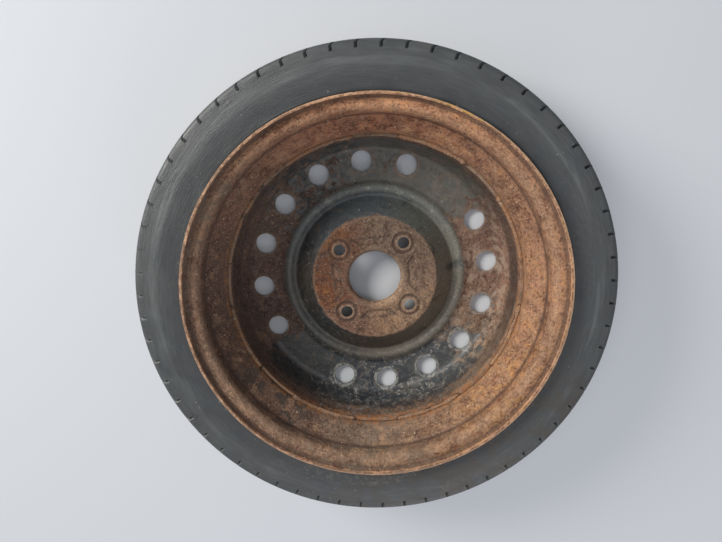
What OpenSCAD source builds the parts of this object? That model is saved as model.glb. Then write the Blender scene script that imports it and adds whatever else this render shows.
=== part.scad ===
// Temporary spare wheel: a narrow tyre on a rolled steel rim with a pressed, welded-in disc.
// Millimetres. The origin is on the wheel's axis, in the face that the hub bears on.
// +Z points to the inboard side, the way the hub leaves, and the wheel lies on its outboard lip.

/* [Rim] */
// Diameter of the rim where the tyre beads sit
bead_seat_d = 405.6; // [380:0.1:460]
// Distance between the two flanges, where the beads stand
rim_width = 101.6; // [96:0.1:130]
// Height of the flange over the bead seat
flange_h = 17; // [16:0.1:22]
// How far the flange curls outwards past its upright face
flange_curl = 10.9; // [9.5:0.1:14]
// Thickness of the rim's strip
rim_t = 2.8; // [2:0.1:3.4]
// Depth of the well under the bead seat
well_depth = 21.8; // [20:0.1:26]
// From the inboard flange to the well's near corner
well_in_run = 39.8; // [36:0.1:42]
// From the outboard flange to the well's near corner
well_out_run = 34.8; // [33:0.1:37]
// Axial run of the well's gentle inboard slope
slope_in = 20.5; // [17:0.5:22]
// Axial run of the well's steep outboard slope, where the valve sits
slope_out = 11.3; // [9:0.1:14]
// Height of the safety humps
hump_h = 1.3; // [0.6:0.1:2]

/* [Disc] */
// Thickness of the disc
disc_t = 3.4; // [2.8:0.1:4]
// From the rim's middle plane outboard to the hub face
offset_et = 32; // [26:0.5:38]
// Radius of the flat hub pad
pad_r = 78.5; // [76:0.5:82]
// Radius at the bottom of the groove round the pad
groove_r = 103; // [100:0.5:106]
// Radius of the raised ring's crest
ring_r = 111.5; // [110:0.5:114]
// Height of the raised ring over the vent annulus
ring_h = 4.5; // [3:0.5:6]
// Depth of the vent annulus under the hub face
annulus_depth = 23.3; // [20:0.5:24.5]
// Height of the disc's free edge over the hub face
skirt_top = 36; // [32:0.5:38]
// Length of the skirt's straight stretch, pressed into the well
skirt_len = 18; // [14:0.5:20]

/* [Holes] */
// Bore that centres the wheel on the hub
bore_d = 66.1; // [60:0.1:74]
// Depth of the collar turned down round the bore
collar_h = 11; // [8:0.5:14]
// Number of wheel studs
lug_count = 4; // [4:1:5]
// Pitch circle of the studs
lug_pcd = 114.3; // [110:0.1:118]
// Clear hole for a stud
lug_hole_d = 14.6; // [13:0.1:15.5]
// Angle of the first stud hole from +X
lug_phase = 51.5; // [0:0.5:90]
// Places in the ring of vents, two of them left blank
vent_places = 16; // [12:2:16]
// Diameter of a vent
vent_d = 26.5; // [20:0.5:30]
// Radius of the circle of vents
vent_r = 145.9; // [143:0.1:147]
// Angle of the first vent from +X
vent_phase = 6.6; // [0:0.1:22]
// Depth of the shallow pockets pressed into the pad between the studs
pocket_depth = 1.2; // [0.6:0.1:1.6]

/* [Tyre] */
// Diameter of the tyre over its crown
tyre_d = 555; // [550:1:575]
// Width of the tyre at its widest
tyre_width = 105; // [103:0.5:108]
// Radius of the crown across the tread
crown_r = 276; // [220:1:400]
// Depth of the tread's grooves
groove_depth = 4.5; // [3:0.1:5]
// Width of the tread's grooves
groove_w = 5.5; // [4:0.1:7]
// Distance of the outer grooves from the middle of the tread
groove_pitch = 18; // [15:0.5:21]
// Thickness of the rubber at the crown
tread_t = 9; // [8:0.1:11]
// Thickness of the sidewall
side_t = 5.8; // [5:0.1:7]
// Notches round each shoulder
notch_count = 63; // [40:1:72]
// Width of a shoulder notch
notch_w = 3.4; // [2:0.1:5]
// Depth of a shoulder notch under the tread's edge
notch_depth = 3.6; // [2:0.1:4.5]

/* [Welds] */
// Weld runs between disc and rim
weld_count = 8; // [4:1:8]
// Angle that one run covers
weld_span = 30; // [15:1:40]
// Leg of the weld on the rim
weld_leg = 4.2; // [3:0.1:6]

/* [Valve] */
// Angle of the valve from +X, behind a blank place in the ring of vents
valve_angle = 231.6; // [0:0.1:360]
// Hole in the rim for the valve
valve_hole_d = 11.3; // [11:0.1:12.5]
// Length of the valve outside the rim, up to its mouth
valve_len = 27; // [25:0.5:29]
// Outer diameter of the stem's thread
stem_d = 7.7; // [7:0.1:8]
// Length of the stem's thread
stem_thread = 11; // [9:0.5:12]
// Bore of the stem where the core screws in
core_d = 5.2; // [5:0.1:5.4]
// Diameter of the core's pin
pin_d = 1.2; // [1:0.1:1.4]
// Travel of the core's pin
pin_travel = 1.5; // [1:0.1:1.8]
// Outer diameter of the dust cap
cap_d = 10; // [9.6:0.1:11]

/* [Hidden] */

// Round faces and the angle that one flat of a bend covers
$fn = 96;
bend_step = 15;

// Clearances that the fits share
seat_gap = 0.1;
run_gap = 0.08;
thread_gap = 0.1;
seal_gap = 0.05;
over = 1;

// Rim, along the middle of its strip: radius and axial place from the rim's middle plane
seat_slope = tan(5);
bead_seat_r = bead_seat_d / 2;
flange_r = bead_seat_r + flange_h;
rim_half = rim_width / 2 + flange_curl;
lip_mid_r = flange_r - rim_t / 2;
flange_mid_s = rim_width / 2 + rim_t / 2;
seat_mid_r = bead_seat_r - rim_t / 2;
curl_bend = 8.5;
heel_bend = 6.5 + rim_t / 2;
hump_len = 5.5;
well_in = rim_width / 2 - well_in_run;
well_out = well_out_run - rim_width / 2;
hump_in = well_in + slope_in;
hump_out = well_out - slope_out;
well_mid_r = bead_seat_r - well_depth - rim_t / 2;
well_bore_r = well_mid_r - rim_t / 2;

function seat_r_at(s) = seat_mid_r - (flange_mid_s - abs(s)) * seat_slope;
function hump_r_at(s) = seat_r_at(s) + hump_h;

// Disc, along the middle of its sheet: radius and height over the hub face
disc_mid = disc_t / 2;
skirt_mid_r = well_bore_r - disc_mid;
annulus_mid = -annulus_depth - disc_mid;
collar_mid_r = bore_d / 2 + disc_mid;
groove_drop = 2.2;
ring_foot_run = 10;
annulus_in_r = ring_r + ring_foot_run;
annulus_out_r = 163;
wall_foot_r = 168.5;
wall_foot_z = -12;
lug_boss_r = 14.8;
lug_ring_r = 9.9;
lug_run = 2.4;
lug_dip = 2;
lug_back = 0.25;
vent_blank = [2, vent_places / 2 + 2];

// Tyre: heights are radii, places across are from the rim's middle plane
tyre_r = tyre_d / 2;
tread_half = 38;
shoulder_s = 50.3;
shoulder_r = tyre_r - 4.4;
shoulder_bend = 9;
notch_s = 43;
notch_len = 34;
notch_slant = 50;
notch_fall = 29;
bulge_share = 0.53;
side_bulge_r = flange_r + bulge_share * (shoulder_r - flange_r);
groove_places = [groove_pitch, 0, -groove_pitch];
bead_base = 14.2;
toe_s = rim_width / 2 - bead_base;

// Valve: its axis stands square to the outboard slope, w runs along it from the slope's tyre side
slope_a = [well_mid_r, well_out];
slope_b = [hump_r_at(hump_out), hump_out];
slope_dir = unit(slope_b - slope_a);
valve_dir = [slope_dir[1], -slope_dir[0]];
valve_foot = (slope_a + slope_b) / 2 - valve_dir * rim_t / 2;
valve_tilt = atan2(valve_dir[0], valve_dir[1]);
face_in = 0.15;
face_out = rim_t - 0.05;
face_r = 10;
boot_flange_r = 8.4;
boot_flange_h = 4;
boot_bulge_r = 7.6;
boot_top = valve_len - stem_thread + rim_t;
mouth = valve_len + rim_t;
stem_foot = -boot_flange_h - 1;
stem_body_r = stem_d / 2 - 0.7;
stem_bore_r = 1.95;
core_seat = mouth - 7.2;
plug_len = 4;
plug_foot = mouth - 5.8;
plug_top = plug_foot + plug_len;
tongue_h = 1.2;
tongue_w = 1.7;
barrel_r = 1.6;
barrel_bore_r = 1.15;
barrel_foot = core_seat - 8.4;
barrel_floor = barrel_foot + 2.2;
pin_r = pin_d / 2;
pin_collar_r = 1;
pin_collar = plug_foot - 1.4;
pin_top = mouth - 0.4;
cup_h = 1.6;
seal_h = 0.8;
spring_wire = 0.22;
cap_foot = mouth - stem_thread + 2.2;
cap_seal_h = 1;
cap_top_t = 2;

// Curves and sheet sections
function unit(v) = v / norm(v);
function cross2(a, b) = a[0] * b[1] - a[1] * b[0];
function xy(p) = [p[0], p[1]];

// Half of the angle at b between its two sides
function half_at(a, b, c) = acos(unit(a - b) * unit(c - b)) / 2;

// The corner b between a and c, rounded to the radius bend
function corner(a, b, c, bend) =
    let (u = unit(a - b), v = unit(c - b), half = half_at(a, b, c))
    bend <= 0 || half > 89.5 ? [b] :
    let (
        mid = b + unit(u + v) * bend / sin(half),
        start = b + u * bend / tan(half) - mid,
        sweep = (180 - 2 * half) * sign(cross2(-u, v)),
        from = atan2(start[1], start[0]),
        steps = max(2, ceil(abs(sweep) / bend_step))
    )
    [for (i = [0:steps]) mid + bend * [cos(from + sweep * i / steps), sin(from + sweep * i / steps)]];

// How much of each of its sides the bend at place i of a path needs
function bend_need(path, i) =
    i < 1 || i > len(path) - 2 ? 0 :
    let (half = half_at(xy(path[i - 1]), xy(path[i]), xy(path[i + 1])))
    half > 89.5 ? 0 : path[i][2] / tan(half);

// The share of its radius that the bend at place i gets where two bends are short of room between them
function bend_share(path, i, needs) =
    min([for (k = [i - 1, i + 1])
        let (both = needs[i] + needs[k])
        both > 0 ? min(1, 0.99 * norm(xy(path[i]) - xy(path[k])) / both) : 1]);

// A path of [x, y, radius] with its inner corners rounded
function rounded(path) =
    let (last = len(path) - 1, needs = [for (i = [0:last]) bend_need(path, i)])
    [
        xy(path[0]),
        for (i = [1:last - 1])
            let (bend = path[i][2] * bend_share(path, i, needs))
            each corner(xy(path[i - 1]), xy(path[i]), xy(path[i + 1]), bend),
        xy(path[last])
    ];

// A line beside a path, at distance d to its left
function beside(line, d) =
    let (last = len(line) - 1)
    [for (i = [0:last])
        let (
            before = unit(line[max(i, 1)] - line[max(i, 1) - 1]),
            after = unit(line[min(i, last - 1) + 1] - line[min(i, last - 1)]),
            t = unit(before + after)
        )
        line[i] + [-t[1], t[0]] * d / (t * after)];

function reversed(list) = [for (i = [len(list) - 1:-1:0]) list[i]];

// The outline of a sheet of thickness t along a path
function sheet(path, t) =
    let (line = rounded(path))
    concat(beside(line, t / 2), reversed(beside(line, -t / 2)));

// One flange, bead seat and hump, from the lip inwards; side is 1 inboard and -1 outboard
function rim_edge(side, hump) = [
    [lip_mid_r, side * rim_half, 0],
    [lip_mid_r, side * flange_mid_s, curl_bend],
    [seat_mid_r, side * flange_mid_s, heel_bend],
    [seat_r_at(hump + side * hump_len), hump + side * hump_len, 3],
    [hump_r_at(hump), hump, 4]
];

rim_path = concat(
    rim_edge(1, hump_in),
    [[well_mid_r, well_in, 7], [well_mid_r, well_out, 5]],
    reversed(rim_edge(-1, hump_out))
);

disc_path = [
    [collar_mid_r, -collar_h, 0],
    [collar_mid_r, -disc_mid, 4.5],
    [pad_r - 1, -disc_mid, 5],
    [groove_r, annulus_mid - groove_drop, 5],
    [ring_r, annulus_mid + ring_h, 5],
    [annulus_in_r, annulus_mid, 4],
    [annulus_out_r, annulus_mid, 11],
    [wall_foot_r, wall_foot_z, 30],
    [skirt_mid_r, skirt_top - skirt_len, 14],
    [skirt_mid_r, skirt_top, 0]
];

// The face round one stud hole, from outside inwards: it dips outboard and comes back as the nut's cone seat
lug_path = [
    [lug_boss_r + over * lug_run / lug_dip, over, 0],
    [lug_boss_r - lug_run, -lug_dip, 1.5],
    [lug_ring_r, -lug_back, 1.2],
    [lug_hole_d / 2 - over, -lug_back, 0],
    [lug_hole_d / 2 - over, over, 0]
];

function crown(s) = tyre_r - (crown_r - sqrt(crown_r * crown_r - s * s));

// Outside of one half of the tyre, from the bead's toe to the edge of the tread
tyre_side = [
    [bead_seat_r + seat_gap - bead_base * seat_slope, toe_s, 0],
    [bead_seat_r + seat_gap, rim_width / 2 - seat_gap, 6.5],
    [flange_r - 6.6, rim_width / 2 - 0.3, 2],
    [flange_r - 2.5, rim_width / 2 - 1.6, 1.5],
    [flange_r + 0.9, rim_width / 2 + 0.5, 0.8],
    [flange_r + 2.7, rim_width / 2 + 0.9, 0.8],
    [flange_r + 3.6, rim_width / 2 - 0.1, 0.8],
    [side_bulge_r, tyre_width / 2, 35],
    [shoulder_r - 10, shoulder_s + 0.6, 30],
    [shoulder_r, shoulder_s, shoulder_bend],
    [crown(tread_half), tread_half, 0]
];

// One groove across the tread, cut into the crown's line
function groove(s) =
    let (lip = groove_w / 2, foot = groove_w / 2 - 0.8, low = crown(s) - groove_depth)
    [[crown(s + lip), s + lip], [low, s + foot], [low, s - foot], [crown(s - lip), s - lip]];

// Inside of one half of the tyre, from the toe to the middle of the crown
tyre_inner = [
    [bead_seat_r + seat_gap - bead_base * seat_slope, toe_s, 0],
    [bead_seat_r + 9, toe_s + 1.5, 8],
    [bead_seat_r + 21, tyre_width / 2 - side_t - 1.2, 12],
    [side_bulge_r, tyre_width / 2 - side_t, 60],
    [shoulder_r - 14, shoulder_s - side_t - 0.6, 20],
    [tyre_r - tread_t - 1.2, tread_half - 6, 10],
    [tyre_r - tread_t, 0, 0]
];

function flipped(list) = [for (p = reversed(list)) [p[0], -p[1]]];
// The inside line from one toe over the crown to the other, without the two toes
function cavity(half) =
    let (last = len(half) - 1)
    concat([for (i = [1:last]) [half[i][0], -half[i][1]]], [for (i = [last - 1:-1:1]) half[i]]);
function lifted(list, z) = [for (p = list) [p[0], p[1] + z]];

module revolve(points) {
    rotate_extrude()
        polygon(points);
}

module ring(r, hole_r, h) {
    difference() {
        cylinder(r = r, h = h);
        translate([0, 0, -over])
            cylinder(r = hole_r, h = h + 2 * over);
    }
}

module at_valve() {
    rotate([0, 0, valve_angle])
        translate([valve_foot[0], 0, valve_foot[1] + offset_et])
            rotate([0, valve_tilt, 0])
                children();
}

module each_lug() {
    for (i = [0:lug_count - 1])
        rotate([0, 0, lug_phase + i * 360 / lug_count])
            translate([lug_pcd / 2, 0, 0])
                children();
}

module each_vent() {
    for (i = [0:vent_places - 1])
        if (i != vent_blank[0] && i != vent_blank[1])
            rotate([0, 0, vent_phase + i * 360 / vent_places])
                translate([vent_r, 0, 0])
                    children();
}

// Slanted cutter for one notch, whose floor falls away from the tread towards the sidewall
module notch(side) {
    floor_r = crown(tread_half) - notch_depth - (notch_s - tread_half) * tan(notch_fall);
    translate([floor_r, 0, side * notch_s])
        rotate([0, side * -notch_fall, 0])
            rotate([-notch_slant, 0, 0])
                translate([0, -notch_w / 2, -notch_len / 2])
                    cube([notch_depth + 8, notch_w, notch_len]);
}

module tyre() {
    side_line = rounded(tyre_side);
    tread = [for (s = groove_places) each groove(s)];
    outline = concat(side_line, tread, flipped(side_line), cavity(rounded(tyre_inner)));
    color([0.25, 0.26, 0.27])
        difference() {
            revolve(lifted(outline, offset_et));
            for (side = [1, -1])
                for (i = [0:notch_count - 1])
                    rotate([0, 0, (i + side / 4) * 360 / notch_count])
                        translate([0, 0, offset_et])
                            notch(side);
        }
}

module rim() {
    color([0.55, 0.36, 0.25])
        difference() {
            revolve(lifted(sheet(rim_path, rim_t), offset_et));
            at_valve() {
                translate([0, 0, -2 * rim_t])
                    cylinder(d = valve_hole_d, h = 5 * rim_t);
                translate([0, 0, face_in - rim_t])
                    cylinder(r = face_r, h = rim_t);
                translate([0, 0, face_out])
                    cylinder(r = face_r, h = rim_t);
            }
        }
}

// One shallow pocket between two studs: straight at its outer end, narrower towards the bore
module pocket(h) {
    linear_extrude(h)
        polygon([[42, -13], [51, -24], [53, -22], [53, 22], [51, 24], [42, 13]]);
}

module each_pocket() {
    for (i = [0:lug_count - 1])
        rotate([0, 0, lug_phase + (i + 0.5) * 360 / lug_count])
            children();
}

// What the dip round one stud hole takes from the sheet's hub face, or adds behind it
module lug_dish(face) {
    revolve(lifted(rounded(lug_path), face));
}

module disc() {
    color([0.4, 0.33, 0.29])
        difference() {
            union() {
                revolve(sheet(disc_path, disc_t));
                each_lug()
                    lug_dish(-disc_t);
                each_pocket()
                    translate([0, 0, -disc_t - pocket_depth])
                        pocket(pocket_depth + over);
            }
            each_lug() {
                lug_dish(0);
                translate([0, 0, -disc_t - over - lug_dip])
                    cylinder(d = lug_hole_d, h = disc_t + 2 * over + lug_dip);
            }
            each_pocket()
                translate([0, 0, -pocket_depth])
                    pocket(2 * pocket_depth);
            each_vent()
                translate([0, 0, annulus_mid - disc_t])
                    cylinder(d = vent_d, h = 2 * disc_t);
        }
}

module disc_welds() {
    bead = [
        [well_bore_r - 2.6, skirt_top, 0],
        [well_bore_r - 2.4, skirt_top + 2, 2],
        [well_bore_r - 0.6, skirt_top + weld_leg - 0.3, 1.2],
        [well_bore_r, skirt_top + weld_leg, 0]
    ];
    color([0.48, 0.3, 0.2])
        for (i = [0:weld_count - 1])
            rotate([0, 0, 8 + i * 360 / weld_count])
                rotate_extrude(angle = weld_span)
                    polygon(concat(rounded(bead), [[well_bore_r, skirt_top]]));
}

module valve_boot() {
    outline = rounded([
        [stem_body_r, -boot_flange_h, 0],
        [boot_flange_r - 2, -boot_flange_h, 0],
        [boot_flange_r, -1.2, 1],
        [boot_flange_r, face_in, 0],
        [valve_hole_d / 2, face_in, 0],
        [valve_hole_d / 2, face_out, 0],
        [boot_bulge_r, face_out, 0],
        [boot_bulge_r, face_out + 2, 1],
        [boot_bulge_r - 1.2, face_out + 5, 3],
        [stem_d / 2 + 1, boot_top - 1, 1],
        [stem_d / 2 + 0.4, boot_top, 0],
        [stem_body_r, boot_top, 0]
    ]);
    color([0.12, 0.12, 0.13])
        at_valve()
            revolve(outline);
}

module valve_stem() {
    color([0.69, 0.55, 0.34])
        at_valve()
            difference() {
                union() {
                    translate([0, 0, stem_foot])
                        cylinder(r = stem_body_r, h = boot_top - stem_foot);
                    translate([0, 0, boot_top])
                        cylinder(d = stem_d, h = mouth - boot_top - 0.8);
                    translate([0, 0, mouth - 0.8])
                        cylinder(d1 = stem_d, d2 = stem_d - 1, h = 0.8);
                }
                translate([0, 0, stem_foot - over])
                    cylinder(r = stem_bore_r, h = mouth);
                translate([0, 0, core_seat])
                    cylinder(r1 = stem_bore_r, r2 = core_d / 2, h = 1.2);
                translate([0, 0, core_seat + 1.2])
                    cylinder(d = core_d, h = mouth);
            }
}

module core_plug() {
    color([0.75, 0.6, 0.35])
        at_valve()
            difference() {
                union() {
                    translate([0, 0, plug_foot])
                        cylinder(r = core_d / 2 - thread_gap, h = plug_len);
                    translate([-core_d / 2 + 0.5, -tongue_w / 2, plug_top - over])
                        cube([core_d - 1, tongue_w, tongue_h + over]);
                }
                translate([0, 0, plug_foot - over])
                    cylinder(r = pin_r + run_gap, h = plug_len + tongue_h + 2 * over);
            }
}

module core_gasket() {
    color([0.8, 0.2, 0.15])
        at_valve()
            translate([0, 0, core_seat])
                difference() {
                    union() {
                        cylinder(r1 = stem_bore_r, r2 = core_d / 2, h = 1.2);
                        translate([0, 0, 1.2])
                            cylinder(r = core_d / 2, h = plug_foot - core_seat - 1.2);
                    }
                    translate([0, 0, -over])
                        cylinder(r = barrel_r, h = 4);
                }
}

module core_barrel() {
    color([0.72, 0.58, 0.36])
        at_valve()
            difference() {
                translate([0, 0, barrel_foot])
                    cylinder(r = barrel_r, h = plug_foot - barrel_foot);
                translate([0, 0, barrel_foot - over])
                    cylinder(r = pin_r + run_gap, h = plug_foot);
                translate([0, 0, barrel_floor])
                    cylinder(r = barrel_bore_r, h = plug_foot);
            }
}

// Coil spring swept as a ring of sides at each step
module core_spring() {
    turns = 6;
    steps = 14;
    sides = 6;
    r = pin_r + 0.25;
    foot = barrel_floor + spring_wire / 2;
    rise = pin_collar - barrel_floor - spring_wire;
    count = turns * steps;
    points = [
        for (i = [0:count])
            for (k = [0:sides - 1])
                let (
                    a = i * 360 / steps,
                    out = r + spring_wire / 2 * cos(k * 360 / sides),
                    up = foot + rise * i / count + spring_wire / 2 * sin(k * 360 / sides)
                )
                [out * cos(a), out * sin(a), up]
    ];
    walls = [
        for (i = [0:count - 1])
            for (k = [0:sides - 1])
                let (n = (k + 1) % sides)
                [i * sides + k, (i + 1) * sides + k, (i + 1) * sides + n, i * sides + n]
    ];
    ends = [[for (k = [0:sides - 1]) k], [for (k = [sides - 1:-1:0]) count * sides + k]];
    color([0.6, 0.6, 0.62])
        at_valve()
            polyhedron(points, concat(walls, ends), 4);
}

module core_pin() {
    color([0.8, 0.68, 0.45])
        at_valve()
            union() {
                translate([0, 0, barrel_foot - seal_h - cup_h])
                    cylinder(r = pin_r, h = pin_top - barrel_foot + seal_h + cup_h);
                translate([0, 0, pin_collar])
                    cylinder(r = pin_collar_r, h = 0.6);
            }
}

module core_cup() {
    color([0.7, 0.56, 0.34])
        at_valve()
            translate([0, 0, barrel_foot - seal_h - cup_h])
                ring(barrel_r + 0.1, pin_r, cup_h);
}

module core_seal() {
    color([0.15, 0.15, 0.15])
        at_valve()
            translate([0, 0, barrel_foot - seal_h])
                ring(barrel_r, pin_r, seal_h);
}

module cap_seal() {
    color([0.2, 0.2, 0.2])
        at_valve()
            translate([0, 0, mouth])
                ring(stem_d / 2 - 0.4, pin_r + 0.6, cap_seal_h - seal_gap);
}

module valve_cap() {
    top = mouth + cap_seal_h + cap_top_t;
    grips = 18;
    color([0.1, 0.1, 0.1])
        at_valve()
            difference() {
                union() {
                    translate([0, 0, cap_foot])
                        cylinder(d = cap_d - 0.8, h = top - cap_foot - 1);
                    translate([0, 0, top - 1])
                        cylinder(d1 = cap_d - 0.8, d2 = cap_d - 2.4, h = 1);
                    for (i = [0:grips - 1])
                        rotate([0, 0, i * 360 / grips])
                            translate([0, -0.35, cap_foot + 0.6])
                                cube([cap_d / 2, 0.7, top - cap_foot - 2]);
                }
                translate([0, 0, cap_foot - over])
                    cylinder(r = stem_d / 2 + thread_gap, h = mouth + cap_seal_h - cap_foot + over);
            }
}

tyre();
rim();
disc();
disc_welds();
valve_boot();
valve_stem();
core_plug();
core_gasket();
core_barrel();
core_spring();
core_pin();
core_cup();
core_seal();
cap_seal();
valve_cap();
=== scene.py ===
import math

import bmesh
import bpy
import numpy as np
from mathutils import Matrix, Vector


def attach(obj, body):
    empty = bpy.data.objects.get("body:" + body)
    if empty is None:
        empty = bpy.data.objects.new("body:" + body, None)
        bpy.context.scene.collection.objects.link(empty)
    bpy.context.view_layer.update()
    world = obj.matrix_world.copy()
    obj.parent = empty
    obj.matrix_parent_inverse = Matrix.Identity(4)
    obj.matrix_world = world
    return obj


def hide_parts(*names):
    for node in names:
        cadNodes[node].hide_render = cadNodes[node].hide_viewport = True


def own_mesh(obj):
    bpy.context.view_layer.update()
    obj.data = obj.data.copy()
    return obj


# Old temporary spare wheel, dish side up: black tyre, rusted rim, black disc that rusts through its paint
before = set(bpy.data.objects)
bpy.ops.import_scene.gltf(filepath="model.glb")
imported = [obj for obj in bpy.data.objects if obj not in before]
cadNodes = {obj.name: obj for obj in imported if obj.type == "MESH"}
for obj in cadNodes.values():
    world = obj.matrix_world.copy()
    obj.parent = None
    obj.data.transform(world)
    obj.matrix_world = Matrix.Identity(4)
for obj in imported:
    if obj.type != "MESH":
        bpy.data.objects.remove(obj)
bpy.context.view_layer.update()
mm = 0.001
discLift = 32  # from the hub face up to the rim's middle plane, mm
print("frame loaded:", len(cadNodes), "nodes")


def srgb(code):
    # sRGB hex to the linear colour that the shader wants
    parts = [int(code[i:i + 2], 16) / 255 for i in (1, 3, 5)]
    return (*[p / 12.92 if p < 0.04045 else ((p + 0.055) / 1.055) ** 2.4 for p in parts], 1)


def mainOutput(made):
    return next(socket for socket in made.outputs if socket.enabled)


def addNode(tree, kind, inputs=(), stops=(), **settings):
    # one node with its settings; inputs go by place or by name and are values, colours, sockets or nodes
    made = tree.nodes.new(kind)
    for key, value in settings.items():
        setattr(made, key, value)
    inUse = [socket for socket in made.inputs if socket.enabled]
    pairs = inputs.items() if isinstance(inputs, dict) else enumerate(inputs)
    for key, value in pairs:
        socket = made.inputs[key] if isinstance(key, str) else inUse[key]
        if isinstance(value, bpy.types.Node):
            value = mainOutput(value)
        if isinstance(value, bpy.types.NodeSocket):
            tree.links.new(value, socket)
        elif value is not None:
            socket.default_value = srgb(value) if isinstance(value, str) else value
    for k, (place, colour) in enumerate(stops):
        ramp = made.color_ramp.elements
        element = ramp[k] if k < 2 else ramp.new(1.0)
        element.position = place
        element.color = srgb(colour) if isinstance(colour, str) else (colour, colour, colour, 1)
    return made


def intoScene(name, data):
    # a new object at the origin for this mesh, lamp or camera
    made = bpy.data.objects.new(name, data)
    bpy.context.scene.collection.objects.link(made)
    return made


def shadeSmooth(mesh, sharpFrom=35):
    # smooth but for the edges that turn by more than that many degrees
    mesh.shade_smooth()
    mesh.set_sharp_from_angle(angle=math.radians(sharpFrom))


def finishMesh(mesh, sharpFrom=35):
    # faces outwards, then the shading
    work = bmesh.new()
    work.from_mesh(mesh)
    bmesh.ops.recalc_face_normals(work, faces=work.faces)
    work.to_mesh(mesh)
    work.free()
    shadeSmooth(mesh, sharpFrom)


def closedGrid(name, x, y, z, sharpFrom=35):
    # a piece from rows and columns of points in mm that close both ways
    rows, columns = x.shape
    i, j = np.meshgrid(np.arange(rows), np.arange(columns), indexing="ij")
    k, n = (i + 1) % rows, (j + 1) % columns
    faces = np.stack([i * columns + j, i * columns + n, k * columns + n, k * columns + j], axis=-1)
    verts = np.stack([x, y, z], axis=-1).reshape(-1, 3) * mm
    mesh = bpy.data.meshes.new(name)
    mesh.from_pydata(verts.tolist(), [], faces.reshape(-1, 4).tolist())
    mesh.update()
    finishMesh(mesh, sharpFrom)
    return intoScene(name, mesh)


def plainMesh(piece):
    # puts the evaluated mesh in the piece and takes its modifiers off
    graph = bpy.context.evaluated_depsgraph_get()
    baked = bpy.data.meshes.new_from_object(piece.evaluated_get(graph))
    old = piece.data
    piece.modifiers.clear()
    piece.data = baked
    baked.name = piece.name
    if old.users == 0:
        bpy.data.meshes.remove(old)


def runTree(piece, tree, values):
    # the tree on this piece, its inputs set by their identifiers before anything is evaluated
    made = piece.modifiers.new(tree.name, "NODES")
    made.node_group = tree
    for item in tree.interface.items_tree:
        if item.item_type == "SOCKET" and item.in_out == "INPUT" and item.name in values:
            made[item.identifier] = values[item.name]
    plainMesh(piece)


def newTree(name, sizes):
    # an empty geometry tree with named inputs for its sizes and its finish; returns it with its two ends
    tree = bpy.data.node_groups.new(name, "GeometryNodeTree")
    tree.interface.new_socket("Geometry", in_out="INPUT", socket_type="NodeSocketGeometry")
    for label, value in sizes.items():
        socket = tree.interface.new_socket(label, in_out="INPUT", socket_type="NodeSocketFloat")
        socket.default_value = value
    tree.interface.new_socket("Finish", in_out="INPUT", socket_type="NodeSocketMaterial")
    tree.interface.new_socket("Geometry", in_out="OUTPUT", socket_type="NodeSocketGeometry")
    return tree, tree.nodes.new("NodeGroupInput").outputs, tree.nodes.new("NodeGroupOutput").inputs


def endTree(tree, shape, given, result):
    # real geometry with its finish on it, because the export drops instances
    real = addNode(tree, "GeometryNodeRealizeInstances", [shape])
    dressed = addNode(tree, "GeometryNodeSetMaterial", {"Geometry": real, "Material": given["Finish"]})
    tree.links.new(mainOutput(dressed), result[0])
    return tree


def roundedPath(rows, bendStep=6):
    # rows of radius, place across and bend; inner corners become arcs where their sides have room
    rows = [np.array(row, float) for row in rows]
    points = [rows[0][:2]]
    for a, b, c in zip(rows, rows[1:], rows[2:]):
        u, v = a[:2] - b[:2], c[:2] - b[:2]
        room = min(np.linalg.norm(u), np.linalg.norm(v))
        u, v = u / np.linalg.norm(u), v / np.linalg.norm(v)
        half = math.acos(max(-1, min(1, u @ v))) / 2
        if b[2] <= 0 or half > math.radians(89.5):  # no bend asked for, or no corner to speak of
            points.append(b[:2])
            continue
        bend = min(b[2], 0.49 * room * math.tan(half))  # just under half of each side
        middle = b[:2] + (u + v) / np.linalg.norm(u + v) * bend / math.sin(half)
        start = b[:2] + u * bend / math.tan(half) - middle
        sweep = (math.pi - 2 * half) * np.sign(-u[0] * v[1] + u[1] * v[0])
        first = math.atan2(start[1], start[0])
        steps = max(2, math.ceil(abs(sweep) / math.radians(bendStep)))
        turns = first + sweep * np.arange(steps + 1) / steps
        points += [middle + bend * np.array([math.cos(t), math.sin(t)]) for t in turns]
    points.append(rows[-1][:2])
    return np.array(points)


def evenly(points, spacing):
    # the same line with its points at an even spacing
    run = np.r_[0, np.cumsum(np.linalg.norm(np.diff(points, axis=0), axis=1))]
    at = np.linspace(0, run[-1], max(3, round(run[-1] / spacing) + 1))
    return np.c_[np.interp(at, run, points[:, 0]), np.interp(at, run, points[:, 1])]


def filled(points, longest):
    # the same line with points put into its long stretches
    full = [points[0]]
    for a, b in zip(points, points[1:]):
        steps = max(1, math.ceil(np.linalg.norm(b - a) / longest))
        full += [a + (b - a) * (k + 1) / steps for k in range(steps)]
    return np.array(full)


def beside(line, distance):
    # a line at that distance to the left of this one
    step = np.gradient(line, axis=0)
    step /= np.linalg.norm(step, axis=1)[:, None]
    return line + np.c_[-step[:, 1], step[:, 0]] * distance


def sheetOutline(rows, s, seenLeft):
    # closed outline of a sheet along a line, with more points on the side that shows
    line = evenly(roundedPath(rows), 1.0)
    seen, hidden = s["seenSpacing"], s["hiddenSpacing"]
    left = evenly(beside(line, s["gauge"] / 2), seen if seenLeft else hidden)
    right = evenly(beside(line, -s["gauge"] / 2), hidden if seenLeft else seen)
    return np.r_[left, right[::-1]]


def revolve(name, outline, columns, press=None):
    # a closed outline of radius and height turned round the axis; press moves points after that, in mm
    turn = np.arange(columns) * 2 * math.pi / columns
    r, z = outline[:, 0][:, None], outline[:, 1][:, None]
    x, y, z = r * np.cos(turn), r * np.sin(turn), z + 0 * turn
    if press:
        z = z + press(x, y)
    return closedGrid(name, x, y, z)


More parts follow.
